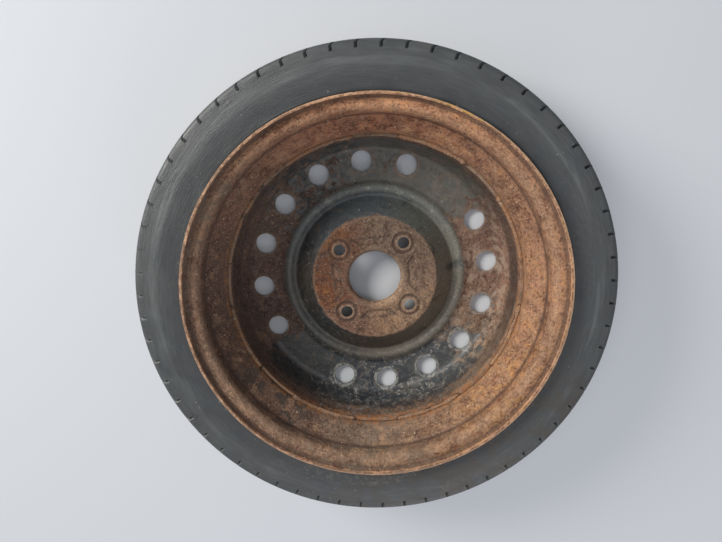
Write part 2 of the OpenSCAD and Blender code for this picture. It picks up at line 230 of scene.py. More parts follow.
def onCircle(radius, degrees, height):
    turn = math.radians(degrees)
    return radius * math.cos(turn), radius * math.sin(turn), height


def cutHoles(piece, drills, sides=72):
    # drills are (place, direction, radius, length) in mm; each leaves a clean round hole
    cutter = bpy.data.meshes.new("drills")
    work = bmesh.new()
    for place, direction, radius, length in drills:
        spin = Vector(direction).to_track_quat("Z", "Y").to_matrix().to_4x4()
        bmesh.ops.create_cone(work, cap_ends=True, segments=sides, radius1=radius * mm, radius2=radius * mm,
                              depth=length * mm, matrix=Matrix.Translation(Vector(place) * mm) @ spin)
    work.to_mesh(cutter)
    work.free()
    tool = intoScene("drills", cutter)
    made = piece.modifiers.new("cut", "BOOLEAN")
    made.operation = "DIFFERENCE"
    made.solver = "MANIFOLD"
    made.object = tool
    plainMesh(piece)
    bpy.data.objects.remove(tool)
    shadeSmooth(piece.data)


# Camera on the photograph's line of sight, its place in mm
cameraSet = {"place": (-14.5, 166.2, 722.2), "turnX": 12.301, "turnY": -0.243, "focalPixels": 584,
             "imageWidth": 722, "sensor": 36, "clipStart": 0.01}
view = (Matrix.Rotation(math.radians(cameraSet["turnY"]), 3, "Y")
        @ Matrix.Rotation(math.radians(cameraSet["turnX"]), 3, "X"))
lens = bpy.data.cameras.new("photoView")
lens.sensor_width = cameraSet["sensor"]
lens.lens = cameraSet["focalPixels"] / cameraSet["imageWidth"] * cameraSet["sensor"]
lens.clip_start = cameraSet["clipStart"]
camera = intoScene("photoView", lens)
camera.matrix_world = Matrix.Translation(Vector(cameraSet["place"]) * mm) @ view.transposed().to_4x4()
bpy.context.scene.camera = camera
bpy.context.scene.view_settings.view_transform = "Standard"


def emptied(made):
    # the node tree of this world or material, with nothing in it
    made.use_nodes = True
    made.node_tree.nodes.clear()
    return made.node_tree


def seenDirectly(tree):
    # 1 for what the camera, a reflection or glass sees, 0 for the light that falls on the wheel
    ray = addNode(tree, "ShaderNodeLightPath").outputs
    seen = addNode(tree, "ShaderNodeMath", [ray["Is Camera Ray"], ray["Is Glossy Ray"]], operation="MAXIMUM")
    return addNode(tree, "ShaderNodeMath", [seen, ray["Is Transmission Ray"]], operation="MAXIMUM")


# Plain studio light; each lamp: place and aim in metres, width, watts, colour
lightSet = {"worldStrength": 0.27, "worldColour": "#eef1f6", "seenColour": "#dfe2e6",
            "lamps": {"keySoftbox": ((-1.62, 0.98, 1.15), (0.03, -0.03, 0.0), 1.0, 62, "#fffaf2"),
                      "frontSoftbox": ((0.35, 0.1, 1.9), (0, 0, 0), 1.4, 5, "#ffffff"),
                      "lowFill": ((0.35, -1.6, 0.85), (0, 0, 0), 1.0, 8, "#f6f6ff")}}
world = bpy.data.worlds.new("studio")
bpy.context.scene.world = world
tree = emptied(world)
lit = addNode(tree, "ShaderNodeBackground", [lightSet["worldColour"], lightSet["worldStrength"]])
shown = addNode(tree, "ShaderNodeBackground", [lightSet["seenColour"], 1.0])
both = addNode(tree, "ShaderNodeMixShader", [seenDirectly(tree), lit, shown])
addNode(tree, "ShaderNodeOutputWorld", [both])
for name, (place, target, size, watts, colour) in lightSet["lamps"].items():
    lamp = bpy.data.lights.new(name, "AREA")
    lamp.shape = "DISK"
    lamp.size = size
    lamp.energy = watts
    lamp.color = srgb(colour)[:3]
    holder = intoScene(name, lamp)
    holder.location = place
    holder.rotation_euler = (Vector(target) - Vector(place)).to_track_quat("-Z", "Y").to_euler()

# Pale matt floor just under the lower lip; past the wheel's edge it glows a little, which halves the shadow
floorSet = {"width": 12, "colour": "#cdd1d7", "seenColour": "#ccd0d6", "glow": 0.5, "low": -29.75,
            "darkReach": 0.25, "glowReach": 0.36}
floorMesh = bpy.data.meshes.new("studioFloor")
work = bmesh.new()
bmesh.ops.create_grid(work, x_segments=8, y_segments=8, size=floorSet["width"] / 2)
work.to_mesh(floorMesh)
work.free()
floorMesh.transform(Matrix.Translation((0, 0, floorSet["low"] * mm)))
floor = intoScene("studioFloor", floorMesh)
paint = bpy.data.materials.new("matt floor paint")
tree = emptied(paint)
place = addNode(tree, "ShaderNodeTexCoord").outputs["Object"]
flat = addNode(tree, "ShaderNodeVectorMath", [place, (1, 1, 0)], operation="MULTIPLY")
reach = addNode(tree, "ShaderNodeVectorMath", [flat], operation="LENGTH")
glow = addNode(tree, "ShaderNodeMapRange",
               [reach, floorSet["darkReach"], floorSet["glowReach"], 0.0, floorSet["glow"]],
               interpolation_type="SMOOTHSTEP")
share = addNode(tree, "ShaderNodeMath", [seenDirectly(tree), glow], operation="MULTIPLY")
matt = addNode(tree, "ShaderNodeBsdfDiffuse", [floorSet["colour"]])
bright = addNode(tree, "ShaderNodeEmission", [floorSet["seenColour"], 1.0])
both = addNode(tree, "ShaderNodeMixShader", [share, matt, bright])
addNode(tree, "ShaderNodeOutputMaterial", [both])
floorMesh.materials.append(paint)
print("camera, floor and light ready")


# What the finishes share; sizes on the wheel are in mm
def startMaterial(name, base):
    # an empty material; base are the constants on the shader's own sockets
    made = bpy.data.materials.new(name)
    tree = emptied(made)
    shader = addNode(tree, "ShaderNodeBsdfPrincipled", base)
    addNode(tree, "ShaderNodeOutputMaterial", [shader])
    place = addNode(tree, "ShaderNodeTexCoord").outputs["Object"]
    return made, tree, shader, place


def finishMaterial(tree, shader, colour, rough, layers):
    # colour and roughness, and one bump over the other: its height, its reach in metres and its strength
    bump = None
    for height, reach, strength in layers:
        bump = addNode(tree, "ShaderNodeBump", {"Height": height, "Distance": reach, "Strength": strength,
                                                "Normal": bump})
    for label, source in (("Base Color", colour), ("Roughness", rough), ("Normal", bump)):
        tree.links.new(mainOutput(source), shader.inputs[label])


def polarPlace(tree, place):
    # radius in mm, turn from 0 to 1 and height in mm round the wheel's axis, and the place at height 0
    x, y, z = addNode(tree, "ShaderNodeSeparateXYZ", [place]).outputs
    flat = addNode(tree, "ShaderNodeCombineXYZ", [x, y])
    reach = addNode(tree, "ShaderNodeVectorMath", [flat], operation="LENGTH")
    radius = addNode(tree, "ShaderNodeMath", [reach, 1000.0], operation="MULTIPLY")
    angle = addNode(tree, "ShaderNodeMath", [y, x], operation="ARCTAN2")
    turn = addNode(tree, "ShaderNodeMath", [angle, 2 * math.pi], operation="DIVIDE")
    turn = addNode(tree, "ShaderNodeMath", [turn], operation="FRACT")
    height = addNode(tree, "ShaderNodeMath", [z, 1000.0], operation="MULTIPLY")
    return radius, turn, height, flat


def rolledPlace(tree, radius, height, flat, squeeze):
    # a place that changes fast across the wheel's section and slowly round it, for streaks that run round
    unit = addNode(tree, "ShaderNodeVectorMath", [flat], operation="NORMALIZE")
    unit = addNode(tree, "ShaderNodeVectorMath", [unit, squeeze], operation="SCALE")
    x, y, z = addNode(tree, "ShaderNodeSeparateXYZ", [unit]).outputs
    across = addNode(tree, "ShaderNodeMath", [radius, height], operation="ADD")
    across = addNode(tree, "ShaderNodeMath", [across, mm], operation="MULTIPLY")
    return addNode(tree, "ShaderNodeCombineXYZ", [x, y, across])


def patchesAt(place, size, low, high, weak=0.0, strong=1.0, detail=5.0, warp=0.5):
    # cloudy patches about that many mm wide, soft between two levels of the noise
    tree = place.id_data
    cloud = addNode(tree, "ShaderNodeTexNoise", {"Vector": place, "Scale": 1 / (size * mm), "Detail": detail,
                                                 "Distortion": warp})
    return addNode(tree, "ShaderNodeMapRange", [cloud, low, high, weak, strong],
                   interpolation_type="SMOOTHSTEP")


def bandAt(value, middle, full, none, strength=1.0):
    # a band round that middle: full strength within one distance, nothing past the other
    tree = value.id_data
    away = addNode(tree, "ShaderNodeMath", [value, middle], operation="SUBTRACT")
    away = addNode(tree, "ShaderNodeMath", [away], operation="ABSOLUTE")
    return addNode(tree, "ShaderNodeMapRange", [away, full, none, strength, 0.0],
                   interpolation_type="SMOOTHSTEP")


def byDirection(turn, stops):
    # a tone or a strength that changes round the wheel and ends as it began
    tree = turn.id_data
    return addNode(tree, "ShaderNodeValToRGB", [turn], stops=[*stops, (1.0, stops[0][1])])


def specksAt(place, size, share, reach=0.3):
    # ragged specks in that share of the cells, each cell that many mm wide
    tree = place.id_data
    wobble = addNode(tree, "ShaderNodeTexNoise",
                     {"Vector": place, "Scale": 2.6 / (size * mm), "Detail": 3.0})
    ragged = addNode(tree, "ShaderNodeVectorMath", [wobble.outputs["Color"], (size * mm * 0.7,) * 3, place],
                     operation="MULTIPLY_ADD")
    cells = addNode(tree, "ShaderNodeTexVoronoi", {"Vector": ragged, "Scale": 1 / (size * mm)}, feature="F1")
    dice = addNode(tree, "ShaderNodeSeparateColor", [cells.outputs["Color"]]).outputs
    chosen = addNode(tree, "ShaderNodeMath", [dice[0], share], operation="LESS_THAN")
    edge = addNode(tree, "ShaderNodeMath", [dice[1], reach, 0.08], operation="MULTIPLY_ADD")
    inside = addNode(tree, "ShaderNodeMath", [cells.outputs["Distance"], edge], operation="SUBTRACT")
    inside = addNode(tree, "ShaderNodeMapRange", [inside, 0.08, -0.08], interpolation_type="SMOOTHSTEP")
    return addNode(tree, "ShaderNodeMath", [chosen, inside], operation="MULTIPLY")


def coat(below, tone, *masks):
    # a coat of tone over what lies below, as strong as all its masks together
    tree = below.id_data
    share = masks[0]
    for mask in masks[1:]:
        share = addNode(tree, "ShaderNodeMath", [share, mask], operation="MULTIPLY")
    return addNode(tree, "ShaderNodeMix", [share, below, tone], data_type="RGBA")


rustShades = [(0.37, "#6b5a52"), (0.44, "#99897f"), (0.50, "#bcbab8"), (0.56, "#cfc8bf"), (0.63, "#e6d8c2")]


def rustColour(tree, place, roll, tone, s):
    # iron oxide over that tone: lighter and darker clouds of several sizes, then crust, pits and flecks
    colour = coat(tone, s["bloom"], patchesAt(place, 20, 0.52, 0.68, 0.0, s["bloomShare"]))
    colour = coat(colour, s["stain"],
                  patchesAt(place, 26, 0.46, 0.32, 0.0, s["stainShare"], 6.0))
    mixed = 0.0
    clouds = ((place, s["patch"], 6.0, 0.24), (place, s["blotch"], 6.0, 0.30),
              (roll, 2.6, 3.0, s["streaks"]), (place, 3.4, 4.0, 0.26))
    for where, size, detail, weight in clouds:
        cloud = addNode(tree, "ShaderNodeTexNoise", {"Vector": where, "Scale": 1 / (size * mm),
                                                     "Detail": detail, "Distortion": 0.4})
        mixed = addNode(tree, "ShaderNodeMath", [cloud, weight, mixed], operation="MULTIPLY_ADD")
    shade = addNode(tree, "ShaderNodeValToRGB", [mixed], stops=rustShades)
    shade = addNode(tree, "ShaderNodeVectorMath", [shade, 2.0], operation="SCALE")
    colour = addNode(tree, "ShaderNodeVectorMath", [colour, shade], operation="MULTIPLY")
    colour = coat(colour, s["crumb"], patchesAt(place, 1.9, 0.55, 0.70, 0.0, 0.55, 2.0, 0.0))
    colour = coat(colour, s["scale"], patchesAt(place, 2.5, 0.43, 0.30, 0.0, 0.75, 2.0, 0.0))
    # painted highlight on the swollen crust's humps and painted shade between them, by how sharply the
    # surface bends
    bend = addNode(tree, "ShaderNodeNewGeometry").outputs["Pointiness"]
    for tone, *levels in ((s["scale"], 0.497, 0.470, 0.0, 0.7), (s["crumb"], 0.504, 0.535, 0.0, 0.45)):
        bent = addNode(tree, "ShaderNodeMapRange", [bend, *levels], interpolation_type="SMOOTHSTEP")
        colour = coat(colour, tone, bent)
    crowd = patchesAt(place, 26, 0.45, 0.60, 0.05, 0.8, 4.0)
    pits = [specksAt(place, 3.7, 0.26), specksAt(place, 2.2, 0.2)]
    pits = addNode(tree, "ShaderNodeMath", pits, operation="MAXIMUM")
    colour = coat(colour, s["pit"], pits, crowd, 0.9)
    sparse = patchesAt(place, 21, 0.60, 0.44, 0.05, 0.85, 4.0)
    return coat(colour, s["fleck"], specksAt(place, 3.1, 0.16, 0.2), sparse)


def skinTree(name):
    # lifts and sinks the surface along its normals: rust scale swells, pits and the presses' waviness
    tree, given, result = newTree(name, {"Scale depth": 0.0003, "Scale size": 0.006, "Pit depth": 0.0003,
                                         "Pit size": 0.004, "Wave depth": 0.0004, "Wave size": 0.06,
                                         "Lowest": -0.0297, "Highest": 0.0937})
    place = addNode(tree, "GeometryNodeInputPosition")
    normal = addNode(tree, "GeometryNodeInputNormal")
    total = 0.0
    for label, detail in (("Scale", 3.0), ("Wave", 2.0)):
        pace = addNode(tree, "ShaderNodeMath", [1.0, given[label + " size"]], operation="DIVIDE")
        cloud = addNode(tree, "ShaderNodeTexNoise", {"Vector": place, "Scale": pace, "Detail": detail})
        swing = addNode(tree, "ShaderNodeMath", [cloud, 2.0, -1.0], operation="MULTIPLY_ADD")
        total = addNode(tree, "ShaderNodeMath", [swing, given[label + " depth"], total],
                        operation="MULTIPLY_ADD")
    pace = addNode(tree, "ShaderNodeMath", [1.0, given["Pit size"]], operation="DIVIDE")
    cells = addNode(tree, "ShaderNodeTexVoronoi", {"Vector": place, "Scale": pace}, feature="F1")
    pit = addNode(tree, "ShaderNodeMapRange", [cells, 0.42, 0.12], interpolation_type="SMOOTHSTEP")
    where = addNode(tree, "ShaderNodeTexNoise", {"Vector": place, "Scale": 55.0, "Detail": 2.0})
    where = addNode(tree, "ShaderNodeMapRange", [where, 0.48, 0.6], interpolation_type="SMOOTHSTEP")
    pit = addNode(tree, "ShaderNodeMath", [pit, where], operation="MULTIPLY")
    pit = addNode(tree, "ShaderNodeMath", [pit, given["Pit depth"]], operation="MULTIPLY")
    total = addNode(tree, "ShaderNodeMath", [total, pit], operation="SUBTRACT")
    offset = addNode(tree, "ShaderNodeVectorMath", [normal, total], operation="SCALE")
    lifted = addNode(tree, "ShaderNodeVectorMath", [place, offset], operation="ADD")
    # no crust grows past the lips' faces, on which the wheel lies
    for limit, aside, way in (("Highest", 1.0, "MINIMUM"), ("Lowest", -1.0, "MAXIMUM")):
        bound = addNode(tree, "ShaderNodeCombineXYZ", [aside, aside, given[limit]])
        lifted = addNode(tree, "ShaderNodeVectorMath", [lifted, bound], operation=way)
    moved = addNode(tree, "GeometryNodeSetPosition", {"Geometry": given["Geometry"], "Position": lifted})
    return endTree(tree, moved, given, result)


skin = skinTree("corroded skin")
print("finishes and skin ready")


# Rim, sizes in mm: a strip rolled to a hoop
rimSet = {
    "beadSeat": 202.8, "width": 101.6, "flange": 17, "curl": 10.9, "gauge": 2.8, "wellDepth": 21.8,
    "wellIn": 11, "wellOut": -16, "slopeIn": 20.5, "slopeOut": 11.3, "hump": 1.3, "humpHalf": 5.5,
    "seatSlope": 5, "lipBend": 8.5, "heelBend": 6.5, "humpBends": (3, 4), "wellBends": (7, 5),
    "columns": 460, "seenSpacing": 1.9, "hiddenSpacing": 3.4,
    "valveFoot": (190.726, 0, 11.582), "valveDir": (-0.475226, 0, -0.879864), "valveTurn": 231.6,
    "valveHole": 5.65, "valveDrill": 20,
    "skin": {"Scale depth": 0.00022, "Scale size": 0.007, "Pit depth": 0.00035, "Pit size": 0.0045,
        "Wave depth": 0.00035, "Wave size": 0.07},
    # rust: tones and strengths by direction, from the right by way of the top; heights and radii in mm
    "patch": 60, "blotch": 10, "streaks": 0.20, "bloomShare": 0.5, "bloom": "#a5866b",
    "stainShare": 0.6, "stain": "#5e4537", "joint": 1.0,
    "crumb": "#b5967c", "scale": "#46322a", "pit": "#30211b", "fleck": "#cdbba2",
    "warmTone": "#bb8661", "curlTone": "#b8957a", "paintedLightTone": "#cfa283", "yellowTone": "#b58851",
    "brownTone": "#7d4f36", "greyTone": "#6a6153", "oldBlackAndShade": "#332f2c", "grit": "#b5aa98",
    "cornerDarkTone": "#4a3326", "jointTone": "#96653c", "crackTone": "#2b1c15", "lipDark": "#5f4636",
    "paleCurl": (72.0, 86.0), "paintedLightBand": (86.0, 92.0), "lipFace": (93.0, 93.5), "seat": (62.0, 74.0),
    "well": (80.0, 66.0), "section": (36.0, 96.0), "jointCrust": 42.0, "jointCrack": 39.6,
    "lipInner": 217.2, "lipOuter": 218.8,
    # tones by direction: weathering, and painted shade that darkens the left
    "sides": [(0.0, "#98735c"), (0.13, "#805f4b"), (0.25, "#a87458"), (0.36, "#7d5b49"), (0.46, "#5e453c"),
        (0.54, "#503a31"), (0.64, "#665044"), (0.75, "#74655a"), (0.88, "#98765b")],
    # the lip's edge by direction: rubbed tones and a painted highlight, gold near the top right
    "lip": [(0.0, "#a08468"), (0.15, "#a58560"), (0.18, "#c59a45"), (0.215, "#a07d52"), (0.35, "#876a54"),
        (0.5, "#755848"), (0.7, "#876b56")],
    "warmTop": [(0.12, 0.0), (0.2, 0.8), (0.3, 0.8), (0.4, 0.0)],
    "yellow": [(0.0, 0.35), (0.10, 0.1), (0.2, 0.3), (0.28, 0.05), (0.6, 0.0), (0.74, 0.1), (0.83, 0.35),
        (0.90, 0.85), (0.97, 0.35)],
    "greyFilm": [(0.34, 0.0), (0.39, 0.8), (0.45, 0.8), (0.52, 0.25), (0.66, 0.15), (0.72, 0.6),
        (0.79, 0.5), (0.84, 0.0)],
    # old black below the seat by direction: old paint and painted shade, darkest on the lower left
    "oldPaintAndShade": [(0.42, 0.0), (0.50, 0.3), (0.585, 0.35), (0.62, 1.0), (0.66, 1.0), (0.69, 0.2),
        (0.75, 0.35), (0.79, 0.3), (0.83, 0.0)],
    # darker across the section where its corners are
    "cornerDarkness": [(0.0, 0.2), (0.06, 0.1), (0.14, 0.45), (0.22, 0.1), (0.42, 0.05), (0.52, 0.45), (0.6, 0.1),
        (0.78, 0.25), (0.86, 0.0)]
}


# Hot-rolled mild steel strip, stove-painted black once and now rusted: matt, blotched brown and orange
def rustedStrip(name, s):
    made, tree, shader, place = startMaterial(name, {"Metallic": 0.0, "IOR": 1.5})
    radius, turn, height, flat = polarPlace(tree, place)
    roll = rolledPlace(tree, radius, height, flat, 0.045)
    # each side of the wheel weathered its own way, with painted shade darkening the left; the curl is paler
    # and warm at the top, and the wall under the lip gets painted light
    curl = addNode(tree, "ShaderNodeMapRange", [height, *s["paleCurl"]], interpolation_type="SMOOTHSTEP")
    paintedLightBand = addNode(tree, "ShaderNodeMapRange", [height, *s["paintedLightBand"]],
                       interpolation_type="SMOOTHSTEP")
    tone = byDirection(turn, s["sides"])
    tone = coat(tone, s["warmTone"], byDirection(turn, s["warmTop"]), curl)
    tone = coat(tone, s["curlTone"], curl, 0.3)
    # painted light: the shaded wall under the lip made paler
    tone = coat(tone, s["paintedLightTone"], paintedLightBand, 0.7)
    # yellow lumps and brown ones, most of them low on the right
    yellow = byDirection(turn, s["yellow"])
    tone = coat(tone, s["yellowTone"], yellow, patchesAt(place, 17, 0.47, 0.60, 0.0, 0.75, 6.0, 0.9))
    tone = coat(tone, s["brownTone"], yellow, patchesAt(place, 6, 0.52, 0.62, 0.0, 0.9, 5.0, 0.6))
    colour = rustColour(tree, place, roll, tone, s)
    # grey film with pale grit on the shady bead seat, and below it old black: old paint and painted shade,
    # darkest on the lower left
    grey = byDirection(turn, s["greyFilm"])
    upper = addNode(tree, "ShaderNodeMapRange", [height, *s["seat"], 0.25, 1.0],
                    interpolation_type="SMOOTHSTEP")
    colour = coat(colour, s["greyTone"], grey, upper,
                  patchesAt(place, 15, 0.44, 0.60, 0.0, 0.7, 6.0))
    black = byDirection(turn, s["oldPaintAndShade"])
    lower = addNode(tree, "ShaderNodeMapRange", [height, *s["well"], 0.15, 1.0],
                    interpolation_type="SMOOTHSTEP")
    colour = coat(colour, s["oldBlackAndShade"], black, lower,
                  patchesAt(place, 17, 0.46, 0.56, 0.0, 0.85, 7.0))
    gritty = addNode(tree, "ShaderNodeMath", [grey, black], operation="MAXIMUM")
    colour = coat(colour, s["grit"], gritty, specksAt(place, 2.4, 0.3, 0.24),
                  patchesAt(place, 12, 0.50, 0.60))
    # darker in the corners of the section, and an orange crust with a dark crack where the disc stands
    corners = addNode(tree, "ShaderNodeMapRange", [height, *s["section"]])
    corners = addNode(tree, "ShaderNodeValToRGB", [corners], stops=s["cornerDarkness"])
    colour = coat(colour, s["cornerDarkTone"], corners, patchesAt(roll, 5, 0.35, 0.6, 0.3, 1.0, 4.0))
    sway = addNode(tree, "ShaderNodeTexNoise", {"Vector": place, "Scale": 60.0, "Detail": 5.0})
    swayed = addNode(tree, "ShaderNodeMath", [sway, 5.0, height], operation="MULTIPLY_ADD")
    colour = coat(colour, s["jointTone"], bandAt(swayed, s["jointCrust"], 2.0, 7.0),
                  patchesAt(place, 7, 0.44, 0.60, 0.0, 0.8), s["joint"])
    colour = coat(colour, s["crackTone"], bandAt(swayed, s["jointCrack"], 0.5, 1.6), 0.85)
    # the lip's face: dark towards the middle; along its edge rubbed tones and a painted highlight, gold near
    # the top right
    lip = addNode(tree, "ShaderNodeMapRange", [height, *s["lipFace"]], interpolation_type="SMOOTHSTEP")
    colour = coat(colour, s["lipDark"], lip, bandAt(radius, s["lipInner"], 0.8, 1.5),
                  patchesAt(place, 6, 0.40, 0.60, 0.0, 0.85))
    rubbedEdgeHighlight = byDirection(turn, s["lip"])
    colour = coat(colour, rubbedEdgeHighlight, lip, bandAt(radius, s["lipOuter"], 0.2, 1.3),
                  patchesAt(place, 7, 0.42, 0.58, 0.0, 0.9))
    finishMaterial(tree, shader, colour, patchesAt(place, 1.7, 0.3, 0.7, 0.92, 0.72, 2.0),
                   [(patchesAt(place, 4.0, 0.1, 0.9), 0.0011, 0.75),
                    (patchesAt(place, 0.9, 0.1, 0.9), 0.0004, 0.7)])
    return made


def rimLine(s):
    # middle of the strip from the inboard lip to the outboard one: radius, place across, bend
    lip = s["beadSeat"] + s["flange"] - s["gauge"] / 2
    face = s["width"] / 2 + s["gauge"] / 2
    half = s["width"] / 2 + s["curl"]
    seat = s["beadSeat"] - s["gauge"] / 2
    well = s["beadSeat"] - s["wellDepth"] - s["gauge"] / 2
    foot, top = s["humpBends"]

    def seatAt(place):
        return seat - (face - abs(place)) * math.tan(math.radians(s["seatSlope"]))

    def edge(side, hump):
        start = hump + side * s["humpHalf"]
        return [[lip, side * half, 0], [lip, side * face, s["lipBend"]],
                [seat, side * face, s["heelBend"] + s["gauge"] / 2],
                [seatAt(start), start, foot], [seatAt(hump) + s["hump"], hump, top]]

    middle = [[well, s["wellIn"], s["wellBends"][0]], [well, s["wellOut"], s["wellBends"][1]]]
    humpIn, humpOut = s["wellIn"] + s["slopeIn"], s["wellOut"] - s["slopeOut"]
    return edge(1, humpIn) + middle + edge(-1, humpOut)[::-1]


outline = sheetOutline(rimLine(rimSet), rimSet, False)
outline[:, 1] += discLift
rim = revolve("rolledRim", outline, rimSet["columns"])
valveTurn = Matrix.Rotation(math.radians(rimSet["valveTurn"]), 3, "Z")
cutHoles(rim, [(valveTurn @ Vector(rimSet["valveFoot"]), valveTurn @ Vector(rimSet["valveDir"]),
                rimSet["valveHole"], rimSet["valveDrill"])])
runTree(rim, skin, {**rimSet["skin"], "Finish": rustedStrip("rusted steel strip", rimSet)})
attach(rim, "wheel")
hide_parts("rim")
print("rim:", len(rim.data.polygons), "faces")


# Disc, sizes in mm and degrees: one pressing; the dip round a stud hole is depth by distance from its middle
discSet = {
    "gauge": 3.4, "padEdge": 78.5, "groove": 103, "ring": 111.5, "ringHeight": 4.5, "depth": 23.3,
    "grooveDepth": 2.2, "bowlEdge": 163, "wallFoot": 168.5, "wallHeight": -12, "skirt": 178.2,
    "skirtTop": 36, "skirtLength": 18, "bore": 33.05, "collar": 11, "columns": 400,
    "seenSpacing": 1.9, "hiddenSpacing": 3.0,
    "lugRing": 57.15, "lugTurn": 51.5, "lugHole": 7.3, "lugDrill": 20,
    "dipAway": [8.9, 9.9, 11.2, 12.4, 13.4, 15.0, 16.0],
    "dipDepth": [-0.25, -0.35, -1.2, -1.9, -1.4, -0.15, 0],
    "ventRing": 145.9, "ventHole": 13.25, "ventTurn": 6.6, "ventPlaces": 16, "blank": (2, 10),
    "ventDrill": 14, "ventMiddle": -25,
    "pocketDepth": 1.2, "pocketIn": 42, "pocketOut": 53, "pocketHalf": 24.5, "pocketStraight": 2.5,
    "pocketTaper": 1.25, "pocketEdge": 1.6,
    "skin": {"Scale depth": 0.00018, "Scale size": 0.006, "Pit depth": 0.0003, "Pit size": 0.004,
        "Wave depth": 0.0003, "Wave size": 0.05},
    # rust and paint by direction, as on the rim; paintInside goes by radius, 1 for 200 mm
    "patch": 50, "blotch": 8, "streaks": 0.20, "bloomShare": 0.4, "bloom": "#92796a",
    "stainShare": 0.55, "stain": "#4a362d",
    "crumb": "#a28b78", "scale": "#3d2e28", "pit": "#2a1e1a", "fleck": "#c6b9a4",
    "redTone": "#96602c", "pocketDust": "#7c6b5b", "pocketEdgeDark": "#4a382d", "padDark": "#45342b",
    "padFleck": "#c9bba3", "paintPale": "#6f6d65", "paintDeep": "#202427", "paintDust": "#665a4c",
    "plainDust": "#58453a", "paintDull": "#3d3a36", "paintSpeck": "#9c988b", "ventRust": "#6b5342",
    "chip": "#26292c", "crestFilm": "#70736e", "crestFlakeAndHighlight": "#a39f92", "ventLime": "#868886",
    "limeFilm": "#565a5b", "limeFlake": "#8b8e90", "limeSpeck": "#b4afa3", "tanTone": "#a08b79",
    "tanPit": "#453830", "shade": "#33241c", "crustTone": "#9a6437", "rubbedTone": "#9c8670",
    "dipDark": "#4a372c",
    "bare": [(0.0, "#75594c"), (0.06, "#6b5046"), (0.13, "#5d4c42"), (0.25, "#5e4c42"), (0.38, "#5b483d"),
        (0.5, "#54403a"), (0.63, "#4a3b35"), (0.75, "#624e40"), (0.88, "#86735f")],
    "pad": [(0.0, "#867060"), (0.10, "#6b5a4d"), (0.25, "#6a5b4e"), (0.36, "#70472b"), (0.46, "#5c3c2e"),
        (0.55, "#7a4a2a"), (0.66, "#6c4d40"), (0.78, "#947860"), (0.88, "#9c836a")],
    # paint in the bowl by direction, darker and bluish on the left, partly painted shade
    "bowlPaintAndShade": [(0.0, "#6a6356"), (0.13, "#5f625b"), (0.25, "#4a5359"), (0.38, "#3c4248"), (0.5, "#3d3833"),
        (0.62, "#2a2c2e"), (0.75, "#473c33"), (0.87, "#675e50")],
    "plain": [(0.0, "#5a4d44"), (0.14, "#52524b"), (0.25, "#4d4d47"), (0.38, "#3a3836"), (0.55, "#2f2c2b"),
        (0.66, "#1f2428"), (0.75, "#232a31"), (0.86, "#363b40")],
    "redEdge": [(0.30, 0.0), (0.36, 0.8), (0.42, 0.4), (0.50, 0.3), (0.56, 0.9), (0.61, 0.3), (0.66, 0.0)],
    "dusted": [(0.0, 0.9), (0.3, 0.8), (0.55, 0.5), (0.62, 0.1), (0.84, 0.1), (0.92, 0.8)],
    "paintInside": [(0.0, 0.0), (0.385, 0.02), (0.405, 0.9), (0.54, 0.97), (0.575, 0.85), (0.6, 0.6)],
    "paintOutside": [(0.0, 0.14), (0.08, 0.30), (0.12, 0.75), (0.29, 0.68), (0.36, 0.48), (0.45, 0.25),
        (0.58, 0.3), (0.63, 0.80), (0.85, 0.90), (0.90, 0.5), (0.95, 0.2)],
    "topVents": [(0.0, 0.3), (0.16, 0.5), (0.2, 0.9), (0.35, 0.9), (0.42, 0.7), (0.59, 0.5), (0.61, 0.0)],
    "lowVents": [(0.0, 0.35), (0.05, 0.1), (0.3, 0.1), (0.665, 0.0), (0.69, 0.95), (0.88, 1.0), (0.95, 0.5)],
    "blackTop": [(0.25, 0.0), (0.28, 0.9), (0.38, 0.9), (0.42, 0.3), (0.47, 0.0)],
    # along the ring's crest: flakes and a painted highlight, strongest at the top
    "crest": [(0.0, 0.3), (0.12, 0.5), (0.25, 0.9), (0.33, 0.6), (0.45, 0.25), (0.62, 0.05), (0.72, 0.15),
        (0.86, 0.4)],
    "tanGrit": [(0.0, 0.8), (0.06, 0.6), (0.12, 0.1), (0.5, 0.0), (0.86, 0.2), (0.92, 0.8)],
    # painted shade on the skirt by direction, strongest on the right
    "skirtShade": [(0.0, 0.88), (0.12, 0.5), (0.25, 0.2), (0.38, 0.45), (0.5, 0.6), (0.62, 0.4), (0.75, 0.45),
        (0.87, 0.5)],
    "orange": [(0.0, 0.5), (0.12, 0.15), (0.3, 0.25), (0.45, 0.1), (0.6, 0.2), (0.68, 0.85), (0.85, 0.85)],
    "rubbed": [(0.0, 0.6), (0.25, 0.35), (0.45, 0.3), (0.6, 0.8), (0.9, 0.9)]
}


def fromVents(tree, radius, turn, s):
    # distance in mm from the middle of the nearest vent place
    step = 360 / s["ventPlaces"]
    spoke = addNode(tree, "ShaderNodeMath", [turn, 360 / step, 0.5 - s["ventTurn"] / step],
                    operation="MULTIPLY_ADD")
    spoke = addNode(tree, "ShaderNodeMath", [spoke], operation="FRACT")
    spoke = addNode(tree, "ShaderNodeMath", [spoke, math.radians(step), -math.radians(step) / 2],
                    operation="MULTIPLY_ADD")
    aside = addNode(tree, "ShaderNodeMath", [spoke, radius], operation="MULTIPLY")
    outwards = addNode(tree, "ShaderNodeMath", [radius, s["ventRing"]], operation="SUBTRACT")
    away = addNode(tree, "ShaderNodeCombineXYZ", [aside, outwards])
    return addNode(tree, "ShaderNodeVectorMath", [away], operation="LENGTH")


def foldedPlace(tree, flat, degrees):
    # the place turned by that angle and folded into one quarter of the wheel
    spun = addNode(tree, "ShaderNodeVectorRotate", {"Vector": flat, "Angle": math.radians(degrees)},
                   rotation_type="Z_AXIS")
    return addNode(tree, "ShaderNodeVectorMath", [spun], operation="ABSOLUTE")


